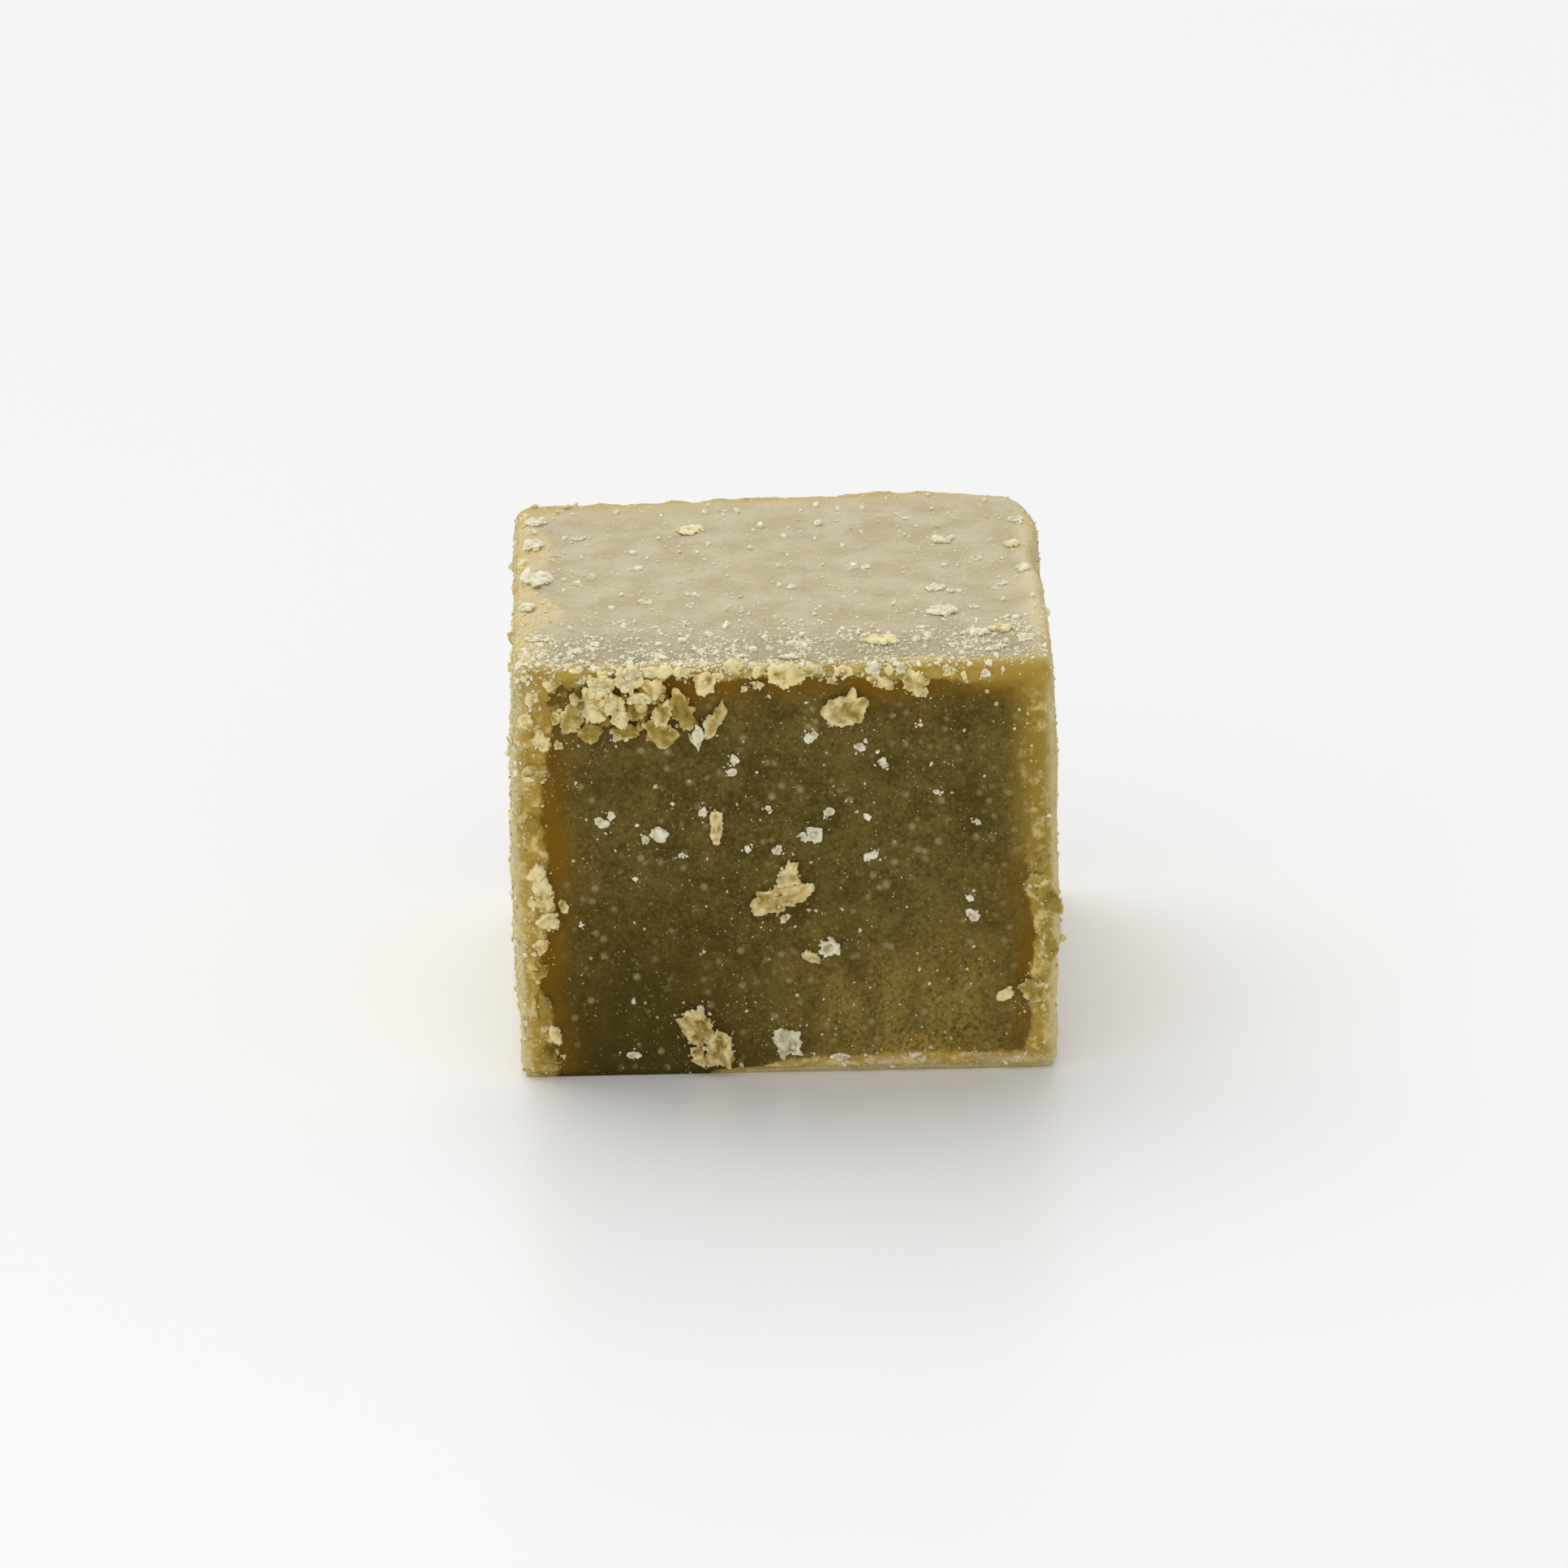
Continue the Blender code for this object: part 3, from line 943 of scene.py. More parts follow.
@dataclass
class Heap:
    """Crumbs gathered for one piece, each a closed shape with its tone."""

    mould: Mould
    dice: np.random.Generator
    places: list[Array] = field(default_factory=list)
    faces: list[Array] = field(default_factory=list)
    tones: list[Array] = field(default_factory=list)
    used: int = 0

    def take(self, places: Array, faces: Array, tones: Array) -> None:
        """Add a closed shape: its points, its triangles and a tone for each point.

        Args:
            places: Its points in rows.
            faces: Three points for each triangle.
            tones: One tone for each point.
        """
        self.places.append(places)
        self.faces.append(faces + self.used)
        self.tones.append(tones)
        self.used += len(places)

    def add(self, centres: Array, normals: Array, sizes: Array, tones: Array, lean: float = 0.25) -> None:
        """Add crumbs from the mould.

        Args:
            centres: Their middles, one row each.
            normals: The way out of what they lie on.
            sizes: Length, width and height of each.
            tones: The tone of each: 0 is dark, 1 pale, and more takes on frost.
            lean: How unevenly they lie.
        """
        out = unit(normals + lean * self.dice.normal(size=normals.shape))
        side = unit(np.cross(out, self.dice.normal(size=out.shape)))
        turns = np.stack([side, np.cross(out, side), out], axis=2)
        kinds = self.dice.integers(0, len(self.mould.shapes), len(centres))
        for kind, (shape, sides) in enumerate(self.mould.shapes):
            mine = kinds == kind
            count, points = int(mine.sum()), len(shape)
            copies = np.einsum("nij,nvj->nvi", turns[mine], shape * sizes[mine, None, :])
            faces = (sides + (np.arange(count) * points)[:, None, None]).reshape(-1, 3)
            places = (copies + centres[mine, None, :]).reshape(-1, 3)
            self.take(places, faces, np.repeat(tones[mine], points))

    def join(self, other: "Heap") -> None:
        """Add all that another heap holds.

        Args:
            other: The heap that is added.
        """
        for places, tones in zip(other.places, other.tones):
            self.places.append(places)
            self.tones.append(tones)
        self.faces += [faces + self.used for faces in other.faces]
        self.used += other.used

    def make(self, name: str) -> bpy.types.Object:
        """One object of all the crumbs, with their tones stored at their points.

        Args:
            name: The piece's name.

        Returns:
            The piece, in mm.
        """
        mesh = bpy.data.meshes.new(name)
        mesh.from_pydata(np.concatenate(self.places).tolist(), [], np.concatenate(self.faces).tolist())
        write_value(mesh, "tone", np.concatenate(self.tones))
        piece = bpy.data.objects.new(name, mesh)
        bpy.context.scene.collection.objects.link(piece)
        return piece


@dataclass
class Ground:
    """A finished mesh that things are strewn on."""

    places: Array
    normals: Array
    triangles: Array
    areas: Array

    @classmethod
    def of(cls, thing: bpy.types.Object) -> "Ground":
        """Read a piece's mesh.

        Args:
            thing: The piece, in mm.

        Returns:
            Its ground.
        """
        mesh = thing.data
        mesh.calc_loop_triangles()
        places = read(mesh.vertices, "co", 3)
        triangles = read(mesh.loop_triangles, "vertices", 3, int)
        first, second, third = (places[triangles[:, corner]] for corner in range(3))
        areas = np.linalg.norm(np.cross(second - first, third - first), axis=1) / 2
        return cls(places, read(mesh.vertices, "normal", 3), triangles, areas)

    def pick(self, density: Array, count: int, dice: np.random.Generator) -> tuple[Array, Array]:
        """Random spots, more of them where the density is higher.

        Args:
            density: One number for each point of the mesh.
            count: How many spots.
            dice: Source of the draws.

        Returns:
            The spots' places and normals.
        """
        weights = self.areas * density[self.triangles].mean(axis=1)
        chosen = self.triangles[dice.choice(len(weights), count, p=weights / weights.sum())]
        shares = dice.dirichlet((1.0, 1.0, 1.0), count)[:, :, None]
        spots = (self.places[chosen] * shares).sum(axis=1)
        return spots, unit((self.normals[chosen] * shares).sum(axis=1))


def finish_piece(piece: bpy.types.Object, material: bpy.types.Material, crisp: bool = True) -> None:
    """Bring a piece to metres, dress it and let it ride with the block.

    Args:
        piece: The piece, in mm.
        material: Its finish.
        crisp: Keep its sharper edges from being smoothed over.
    """
    piece.data.transform(Matrix.Scale(MM, 4))
    piece.data.materials.clear()
    piece.data.materials.append(material)
    piece.data.shade_smooth()
    if crisp:
        piece.data.set_sharp_from_angle(angle=math.radians(CRISP_ANGLE))
    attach(piece, BODY)
    LOG.info("%s: %d faces", piece.name, len(piece.data.polygons))


@dataclass(frozen=True)
class Band:
    """Painted amber glow just inside the crust of one edge: its side, its strength and its width in mm."""

    side: int
    gain: float
    width: float


@dataclass(frozen=True)
class Patch:
    """A soft patch on the cut faces: middle and spread in mm, strength, and how streaky it is."""

    middle: Span
    spread: Span
    gain: float
    streaks: float
    streak_size: float = 0.8
    streak_stretch: Triple = (1.0, 1.0, 0.45)
    streak_shift: Triple = (2.0, 7.0, 1.0)

    def values(self, places: Array) -> Array:
        """The patch's strength at each place, drawn out into upright streaks.

        Args:
            places: Places on the sharp box.

        Returns:
            One strength for each.
        """
        streaks = soft_noise(places * self.streak_stretch, self.streak_size, self.streak_shift)
        shape = bell(places[:, 0], self.middle[0], self.spread[0])
        shape = shape * bell(places[:, 2], self.middle[1], self.spread[1])
        return self.gain * np.clip(shape * (1.0 + self.streaks * streaks), 0.0, 1.0)


@dataclass(frozen=True)
class Staining:
    """Where the block gets its painted amber glow, and where it is golden or frosted, in mm.

    A rise or fall holds its start and its end, a stretch its middle and its spread, and the two
    top corners a strength and a width.
    """

    form: BlockForm
    crust: CrustPlan
    right_band: Band = Band(0, 0.60, 0.70)
    left_band: Band = Band(1, 1.0, 0.85)
    top_band: Band = Band(4, 0.90, 0.80)
    soft_fade: float = 0.8
    low_left: float = 0.65
    low_left_rise: Span = (2.0, 8.0)
    foot_gain: float = 0.3
    foot_width: float = 0.55
    foot_rise: Span = (1.0, 5.0)
    lit_gain: float = 0.9
    lit_stretch_up: Span = (15.3, 0.8)
    lit_stretch_across: Span = (-4.5, 3.2)
    glow_patches: float = 0.8
    glow_patch_size: float = 2.2
    golden_below_top: Span = (1.8, 0.3)
    golden_depth: float = 0.7
    golden_left_fall: Span = (-9.4, -6.8)
    golden_right_rise: Span = (4.5, 7.0)
    golden_inside: Span = (0.1, 0.6)
    golden_patch_size: float = 1.2
    golden_patch_span: Span = (-0.25, 0.25)
    golden_shares: Triple = (0.5, 0.5, 0.6)
    left_top: Span = (0.33, 1.6)
    worn_corner: Span = (0.30, 1.2)
    worn_corner_rise: Span = (2.0, 8.0)
    frost_stretch_up: Span = (0.38, 0.24)
    frost_depth: float = 0.4
    frost_rise: Span = (-1.0, 1.0)
    frost_patches: Span = (0.35, 1.3)
    frost_patch_size: float = 0.9
    frost_limits: Span = (0.1, 0.6)

    def painted_amber_glow(self, places: Array) -> Array:
        """Painted glow: bands just inside the crust where light comes through the cut face, weaker low on
        the left, with a band along the foot and a lit patch high up.

        Args:
            places: Places on the sharp box.

        Returns:
            One strength for each.
        """
        far = self.crust.distances(self.form, places)
        x, z = places[:, 0], places[:, 2]
        ends = self.crust.reaches(Face.FRONT, x, z)
        right, left, top = (
            band.gain * bell(np.maximum(far[:, band.side] - ends[band.side], 0.0), 0.0, band.width)
            for band in (self.right_band, self.left_band, self.top_band))
        right *= 1.0 - self.soft_fade * self.crust.soft(places)
        left *= mix(self.low_left, 1.0, smooth_step(*self.low_left_rise, z))
        foot = self.foot_gain * bell(z, ends[-1], self.foot_width) * smooth_step(*self.foot_rise, x)
        lit = self.lit_gain * bell(z, *self.lit_stretch_up) * bell(x, *self.lit_stretch_across)
        patchy = 1.0 + self.glow_patches * soft_noise(places, self.glow_patch_size, (4.0, 2.0, 9.0))
        return np.clip(np.maximum.reduce([right, left, top, foot, lit]) * patchy, 0.0, 1.0)

    def golden(self, places: Array) -> Array:
        """The damp golden part of the crust: the top front edge, most of all at its ends.

        Args:
            places: Places on the sharp box.

        Returns:
            One strength for each.
        """
        x, y, z = places.T
        half_x, half_y, top = self.form.half
        start, full = self.golden_below_top
        high = smooth_step(top - start, top - full, z)
        near = bell(y, -half_y, self.golden_depth) * smooth_step(*self.golden_inside, x + half_x)
        ends = 1.0 - smooth_step(*self.golden_left_fall, x) + smooth_step(*self.golden_right_rise, x)
        patches = soft_noise(places, self.golden_patch_size, (7.0, 3.0, 3.0))
        patches = smooth_step(*self.golden_patch_span, patches)
        least, by_patch, at_ends = self.golden_shares
        front = near * np.clip(least + by_patch * patches + at_ends * ends, 0.0, 1.0)
        gain, width = self.left_top
        left_top = gain * bell(x, -half_x, width)
        gain, width = self.worn_corner
        worn_corner = gain * bell(x, half_x, width) * smooth_step(*self.worn_corner_rise, y)
        return high * np.maximum.reduce([front, left_top, worn_corner])

    def base_frost(self, places: Array) -> Array:
        """The paler crust along the right half of the front face's foot.

        Args:
            places: Places on the sharp box.

        Returns:
            One strength for each.
        """
        x, y, z = places.T
        low = bell(z, *self.frost_stretch_up) * bell(y, -self.form.half[1], self.frost_depth)
        level, contrast = self.frost_patches
        patches = level + contrast * soft_noise(places, self.frost_patch_size, (5.0, 5.0, 2.0))
        return low * smooth_step(*self.frost_rise, x) * np.clip(patches, *self.frost_limits)


@dataclass
class GanacheBody:
    """The block itself, with its crust's relief, in mm.

    A turn holds the two parts of the normal between which something sets in, and a rise or fall
    the heights, depths or crust widths between which it does.
    """

    form: BlockForm
    crust: CrustPlan
    staining: Staining
    cuts: tuple[int, int] = (11, 9)
    edge_grading: float = 0.80
    wobble: float = 0.9
    wobble_size: float = 2.2
    wobble_turn: Span = (0.6, 0.9)
    ragged: float = 0.8
    ragged_size: float = 0.8
    crust_fall: Span = (0.8, 1.15)
    soft_thinning: float = 0.75
    grain_size: float = 0.34
    grain_height: float = 0.06
    lump_size: float = 0.9
    lump_height: float = 0.14
    cut_size: float = 0.5
    cut_height: float = 0.008
    lip_proud: float = 0.15
    lip_fall: Span = (0.3, 1.0)
    foot_rise: Span = (0.1, 0.5)
    dust_turn: Span = (0.45, 0.95)
    side_dust: float = 0.25
    face_turn: Span = (0.6, 0.95)
    thin_dust: float = 0.36
    thin_reach: float = 3.6
    bare_back: float = 0.9
    bare_reach: float = 1.3
    bare_turn: Span = (0.0, 0.4)
    powder_level: float = 0.4
    powder_front: float = 0.8
    powder_reach: float = 2.0
    powder_on_crust: float = 0.6
    proud_rounds: int = 3
    proud_height: float = 0.05
    # Painted shade: the front face darker towards its lower left.
    shade: Patch = Patch((-5.5, 1.0), (4.4, 4.6), 0.85, 0.4)
    glints: tuple[Patch, ...] = (
        Patch((4.2, 2.3), (4.4, 2.8), 0.62, 1.0), Patch((4.8, 0.6), (1.7, 1.2), 1.45, 0.5),
    )
    sharp: Array = field(init=False)
    normals: Array = field(init=False)
    soft: Array = field(init=False)
    crusted: Array = field(init=False)

    def block_out(self) -> bpy.types.Object:
        """A cube cut into a fine grid.

        Returns:
            The cube.
        """
        deselect_all()
        bpy.ops.mesh.primitive_cube_add(size=2.0)
        body = bpy.context.object
        body.name = body.data.name = "ganache_block"
        bpy.ops.object.mode_set(mode="EDIT")
        bpy.ops.mesh.select_all(action="SELECT")
        for cuts in self.cuts:
            bpy.ops.mesh.subdivide(number_cuts=cuts)
        bpy.ops.object.mode_set(mode="OBJECT")
        return body

    def sharp_places(self, body: bpy.types.Object) -> Array:
        """The grid's points on the sharp box, closer together at its edges.

        Args:
            body: The cube.

        Returns:
            One row for each of its points.
        """
        bend = self.edge_grading * math.pi / 2
        graded = np.sin(bend * read(body.data.vertices, "co", 3).astype(float)) / math.sin(bend)
        graded[:, 2] = (graded[:, 2] + 1.0) / 2
        return graded * self.form.half

    def border(self) -> Array:
        """Crust widths in from the nearest edge, wavering on the top.

        Returns:
            One number for each point.
        """
        level = smooth_step(*self.wobble_turn, self.normals[:, 2])
        waver = self.wobble * soft_noise(self.sharp, self.wobble_size, (3.0, 1.0, 4.0))
        return self.crust.border(self.form, self.sharp) + waver * level

    def cover(self, border: Array, skin: Array) -> Array:
        """How thick the crust is at each point: torn at its inner rim, thin where it is soft."""
        ragged = border + self.ragged * soft_noise(skin, self.ragged_size, (1.0, 5.0, 2.0))
        return (1.0 - smooth_step(*self.crust_fall, ragged)) * (1.0 - self.soft_thinning * self.soft)

    def dust_and_sheen(self) -> Array:
        """Where dust hides the ganache, its colour also holding painted sheen: the top, a little the sides,
        and the front's foot.

        Returns:
            0 where bare, up to 1 where hidden.
        """
        sides = self.side_dust * smooth_step(*self.face_turn, np.abs(self.normals[:, 0]))
        dust_and_sheen = np.maximum(smooth_step(*self.dust_turn, self.normals[:, 2]), sides)
        dust_and_sheen *= 1.0 - self.thin_dust * bell(self.sharp[:, 1], -self.form.half[1], self.thin_reach)
        return np.maximum(dust_and_sheen, self.staining.base_frost(self.sharp))

    def relief(self, skin: Array, dust_and_sheen: Array) -> Array:
        """How far each point stands out of the smooth block: a raised lip, grains and lumps.

        Args:
            skin: The smooth block's points.
            dust_and_sheen: How much dust, with painted sheen, covers each one.

        Returns:
            One height for each.
        """
        facing = 1.0 - smooth_step(*self.lip_fall, self.form.half[1] - np.abs(self.sharp[:, 1]))
        relief = self.lip_proud * self.crusted * facing * np.abs(self.normals[:, 1])
        relief += self.crusted * (self.grain_height * grain_noise(skin, self.grain_size)
                                  + self.lump_height * soft_noise(skin, self.lump_size))
        relief += (1.0 - dust_and_sheen) * self.cut_height * soft_noise(skin, self.cut_size)
        return relief * smooth_step(*self.foot_rise, self.sharp[:, 2])

    def store(self, mesh: bpy.types.Mesh, border: Array, dust_and_sheen: Array) -> None:
        """Store what the finish reads.

        Args:
            mesh: The block's mesh.
            border: Crust widths in from an edge.
            dust_and_sheen: How much dust, with painted sheen, covers each point.
        """
        half_y = self.form.half[1]
        y = self.sharp[:, 1]
        bare = self.bare_back * bell(y, half_y, self.bare_reach)
        bare *= smooth_step(*self.bare_turn, self.normals[:, 2])
        powdered = dust_and_sheen * (self.powder_level + self.powder_front * bell(y, -half_y, self.powder_reach))
        cut_face = smooth_step(*self.face_turn, np.abs(self.normals[:, 1]))
        for name, values in (
            ("golden", self.staining.golden(self.sharp)),
            ("border", border),
            ("soft", self.soft),
            ("dust_and_sheen", dust_and_sheen),
            ("powdered", powdered + self.powder_on_crust * self.crusted),
            ("bare", bare),
            # Painted amber glow on the cut faces.
            ("painted_amber_glow", self.staining.painted_amber_glow(self.sharp) * cut_face),
            ("proud", proudness(mesh, self.proud_rounds, self.proud_height)),
            # Painted shade towards the front's lower left.
            ("deep", self.shade.values(self.sharp)),
            ("bright", np.maximum.reduce([glint.values(self.sharp) for glint in self.glints])),
        ):
            write_value(mesh, name, values)

    def build(self) -> bpy.types.Object:
        """Model the block, and keep what later pieces are strewn by.

        Returns:
            The piece, in mm.
        """
        body = self.block_out()
        mesh = body.data
        self.sharp = self.sharp_places(body)
        write_places(mesh, self.form.skin(self.sharp))
        skin = read(mesh.vertices, "co", 3).astype(float)
        self.normals = read(mesh.vertices, "normal", 3).astype(float)
        self.soft = self.crust.soft(self.sharp)
        border = self.border()
        self.crusted = self.cover(border, skin)
        dust_and_sheen = self.dust_and_sheen()
        skin += self.normals * self.relief(skin, dust_and_sheen)[:, None]
        skin[self.sharp[:, 2] < TINY, 2] = 0.0
        write_places(mesh, skin)
        self.store(mesh, border, dust_and_sheen)
        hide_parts(NODE)
        return body


def straight_runs(turns: Array, reach: Array, angles: Array) -> Array:
    """Reach of an outline with straight sides in each direction.

    Args:
        turns: Directions of its corners, rising, from 0 to a full turn.
        reach: Distance of each corner from the middle.
        angles: Directions asked for.

    Returns:
        The distance to the outline in each of them.
    """
    corners = np.column_stack([np.cos(turns), np.sin(turns)]) * reach[:, None]
    after = np.searchsorted(turns, angles % math.tau, side="right") % len(turns)
    start = corners[after - 1]
    run = corners[after] - start
    heading = np.column_stack([np.cos(angles), np.sin(angles)])
    return (start[:, 0] * run[:, 1] - start[:, 1] * run[:, 0]) / (
        heading[:, 0] * run[:, 1] - heading[:, 1] * run[:, 0])


@dataclass(frozen=True)
class Flake:
    """A torn flake on a face, in mm and degrees: an oval, or corners set round its middle."""

    across: float
    up: float
    length: float = 1.0
    width: float = 1.0
    turn: float = 0.0
    lift: float = 0.0
    tone: float = 0.6
    thickness: float = 0.2
    tip: float = 0.0
    lean: float = 0.0
    corners: Rows = ()

    @property
    def size(self) -> float:
        """Mean distance across."""
        return 2.0 * float(self.reach(np.linspace(0.0, math.tau, ROUND, endpoint=False)).mean())

    def reach(self, angles: Array) -> Array:
        """Distance from its middle to its rim in each direction.

        Args:
            angles: Directions in radians.

        Returns:
            One distance for each.
        """
        if self.corners:
            corners = np.array(self.corners)
            turns = np.arctan2(corners[:, 1], corners[:, 0]) % math.tau
            order = np.argsort(turns)
            return straight_runs(turns[order], np.linalg.norm(corners[order], axis=1), angles)
        turned = angles - math.radians(self.turn)
        return 0.5 / np.hypot(np.cos(turned) / self.length, np.sin(turned) / self.width)

    def axes(self, face_axes: Array) -> Array:
        """The flake's own directions as columns: across, up and out, slanted as it lies.

        Args:
            face_axes: The face's directions there, as columns.

        Returns:
            Three columns.
        """
        tip = Matrix.Rotation(math.radians(self.tip), 3, "X")
        lean = Matrix.Rotation(math.radians(self.lean), 3, "Y")
        return face_axes @ np.array(tip @ lean)


@dataclass(frozen=True)
class Plate:
    """A round plate modelled once, that each flake bends to its own outline."""

    places: Array
    faces: Array

    @classmethod
    def model(cls, sides: int = 96, rings: tuple[float, ...] = (0.06, 0.10, 0.15, 0.18, 0.20)) -> "Plate":
        """Model the plate: a filled circle, inset into rings, with a wall and an underside.

        Args:
            sides: Points round its rim.
            rings: Width of each ring on its top, from the rim in, for a plate of radius 1.

        Returns:
            The plate, with its top at height 1 and its underside at 0.
        """
        deselect_all()
        bpy.ops.mesh.primitive_circle_add(vertices=sides, radius=1.0, fill_type="NGON")
        disc = bpy.context.object
        bpy.ops.object.mode_set(mode="EDIT")
        bpy.ops.mesh.select_all(action="SELECT")
        bpy.ops.mesh.extrude_region_move(TRANSFORM_OT_translate={"value": (0.0, 0.0, 1.0)})
        for width in rings:
            bpy.ops.mesh.inset(thickness=width)
        bpy.ops.mesh.select_all(action="SELECT")
        bpy.ops.mesh.normals_make_consistent(inside=False)
        bpy.ops.mesh.quads_convert_to_tris()
        bpy.ops.object.mode_set(mode="OBJECT")
        places, faces = take_shape(disc)
        return cls(places.astype(float), faces)


@dataclass(frozen=True)
class Ring:
    """Loose bits in a ring on or round a flake.

    How many, their smallest and largest size in mm, where the ring starts and ends as shares
    of the flake's radius, and the height of their middles over the flake's lift, in mm.
    """

    count: int
    sizes: Span
    reach: Span
    level: float


@dataclass
class Crumbler:
    """Lays torn flakes and loose crumbs on the block's faces. Sizes are in mm."""

    form: BlockForm
    nuggets: Mould
    shards: Mould
    plate: Plate
    dice: np.random.Generator
    corner_counts: tuple[int, int] = (7, 12)
    corner_drift: float = 0.3
    corner_reach: float = 1.05
    corner_limits: Span = (0.7, 1.3)
    uneven: float = 0.18
    notch: float = 0.17
    notch_size: float = 0.30
    tooth: float = 0.10
    tooth_size: float = 0.11
    deepest_notch: float = 0.5
    hump_size: float = 0.32
    hump: float = 0.9
    pit_size: float = 0.12
    pit: float = 0.22
    worn_rim: float = 0.55
    worn_from: float = 0.78
    thinnest: float = 0.2
    undercut: float = 0.6
    root: float = 0.12
    pale_rim: float = 0.70
    pale_rise: Span = (0.55, 0.95)
    pale_size: float = 0.5
    darker: float = 0.12
    # Painted light on the bumps of a flake, painted shade in its dips.
    painted_relief_light: float = 0.65
    bit_heights: Span = (0.6, 1.1)
    bit_skew: float = 1.6
    bit_shapes: Span = (0.7, 1.25)
    bit_paler: float = 0.2
    bit_tone_spread: float = 0.2
    bit_lean: float = 0.6
    bit_sizes: Span = (0.07, 0.20)
    rim_counts: tuple[int, int] = (3, 6)
    rim_ring: Span = (0.80, 1.06)
    rim_level: float = 0.4
    top_count: int = 5
    top_ring: Span = (0.0, 0.8)
    strays: int = 2
    stray_sizes: Span = (0.05, 0.11)
    stray_ring: Span = (1.2, 1.7)
    ground_level: float = 0.02

    def shift(self) -> Array:
        """A random place in the noise."""
        return self.dice.uniform(0.0, NOISE_FIELD, 3)

    def outline(self, flake: Flake, angles: Array) -> Array:
        """A flake's torn outline: an uneven rim with notches and small teeth.

        Args:
            flake: The flake.
            angles: Directions in radians.

        Returns:
            One distance for each.
        """
        reach = flake.reach(angles)
        if not flake.corners:
            count = int(self.dice.integers(*self.corner_counts))
            drift = self.dice.uniform(-self.corner_drift, self.corner_drift, count)
            turns = (np.arange(count) + drift) * math.tau / count % math.tau
            turns.sort()
            corners = self.corner_reach + self.uneven * self.dice.normal(size=count)
            reach = reach * straight_runs(turns, np.clip(corners, *self.corner_limits), angles)
        rim = np.column_stack([np.cos(angles) * reach, np.sin(angles) * reach, np.zeros(len(angles))])
        shift = tuple(self.shift())
        torn = self.notch * soft_noise(rim, self.notch_size, shift)
        torn = torn + self.tooth * soft_noise(rim, self.tooth_size, shift)
        return np.maximum(reach + torn * min(1.0, flake.size), self.deepest_notch * reach)

    def lay_plate(self, heap: Heap, face: Face, flake: Flake) -> None:
        """Lay a flake's body: a thin plate with a torn outline, a worn rim and an uneven top.

        Args:
            heap: Where it is gathered.
            face: The face that it lies on.
            flake: The flake.
        """
        here, face_axes = self.form.spot(face, flake.across, flake.up)
        flat = self.plate.places[:, :2]
        radius = np.linalg.norm(flat, axis=1)
        top = self.plate.places[:, 2] > 0.5
        angles = np.arctan2(flat[:, 1], flat[:, 0]) % math.tau
        angle_list, inverse = np.unique(angles.round(3), return_inverse=True)
        local = flat * self.outline(flake, angle_list)[inverse.ravel(), None]
        seed = self.shift()
        at = np.column_stack([local, np.zeros(len(local))])
        bumps = self.hump * soft_noise(at, self.hump_size, tuple(seed))
        bumps += self.pit * soft_noise(at, self.pit_size, tuple(seed + 5.0))
        height = flake.thickness * (1.0 - self.worn_rim * smooth_step(self.worn_from, 1.0, radius) + bumps)
        height = np.maximum(height, self.thinnest * flake.thickness)
        heights = np.where(top, height, -self.root - flake.lift)
        pale = 0.5 + soft_noise(at, self.pale_size, tuple(seed + 9.0))
        pale = smooth_step(*self.pale_rise, radius) * pale
        # Tones follow the bumps: painted light on raised parts, painted shade in low ones.
        tones = flake.tone - self.darker + self.painted_relief_light * bumps
        tones = tones + self.pale_rim * (flake.tone > 0.0) * pale
        local *= np.where(top, 1.0, self.undercut)[:, None]
        local = np.column_stack([local, heights]) @ flake.axes(face_axes).T
        heap.take(here + face_axes[:, 2] * flake.lift + local, self.plate.faces, tones)

    def lay_bits(self, heap: Heap, face: Face, flake: Flake, ring: Ring) -> None:
        """Lay loose bits.

        Args:
            heap: Where they are gathered.
            face: The face that the flake is on.
            flake: The flake.
            ring: The ring that they lie in.
        """
        here, face_axes = self.form.spot(face, flake.across, flake.up)
        count = ring.count
        start, end = ring.reach
        angle = self.dice.uniform(0.0, math.tau, count)
        radius = np.sqrt(self.dice.uniform(start**2, end**2, count)) * flake.reach(angle)
        level = ring.level * self.dice.uniform(*self.bit_heights, count)
        local = np.column_stack([np.cos(angle) * radius, np.sin(angle) * radius, level])
        size = mix(*ring.sizes, self.dice.random(count) ** self.bit_skew)[:, None]
        size = size * self.dice.uniform(*self.bit_shapes, (count, 3))
        tones = flake.tone + self.bit_paler + self.bit_tone_spread * self.dice.normal(size=count)
        places = here + face_axes[:, 2] * flake.lift + local @ flake.axes(face_axes).T
        heap.add(places, np.tile(face_axes[:, 2], (count, 1)), size, tones, self.bit_lean)

    def lay(self, heap: Heap, face: Face, flake: Flake) -> None:
        """Lay one flake: its plate, bits caught on its rim and top, and strays beside it.

        Args:
            heap: Where it is gathered.
            face: The face that it lies on.
            flake: The flake.
        """
        area = flake.size**2
        least, by_area = self.rim_counts
        self.lay_plate(heap, face, flake)
        for ring in (
            Ring(round(least + by_area * area), self.bit_sizes, self.rim_ring,
                 self.rim_level * flake.thickness),
            Ring(round(self.top_count * area), self.bit_sizes, self.top_ring, flake.thickness),
            Ring(self.strays, self.stray_sizes, self.stray_ring, self.ground_level - flake.lift),
        ):
            self.lay_bits(heap, face, flake, ring)


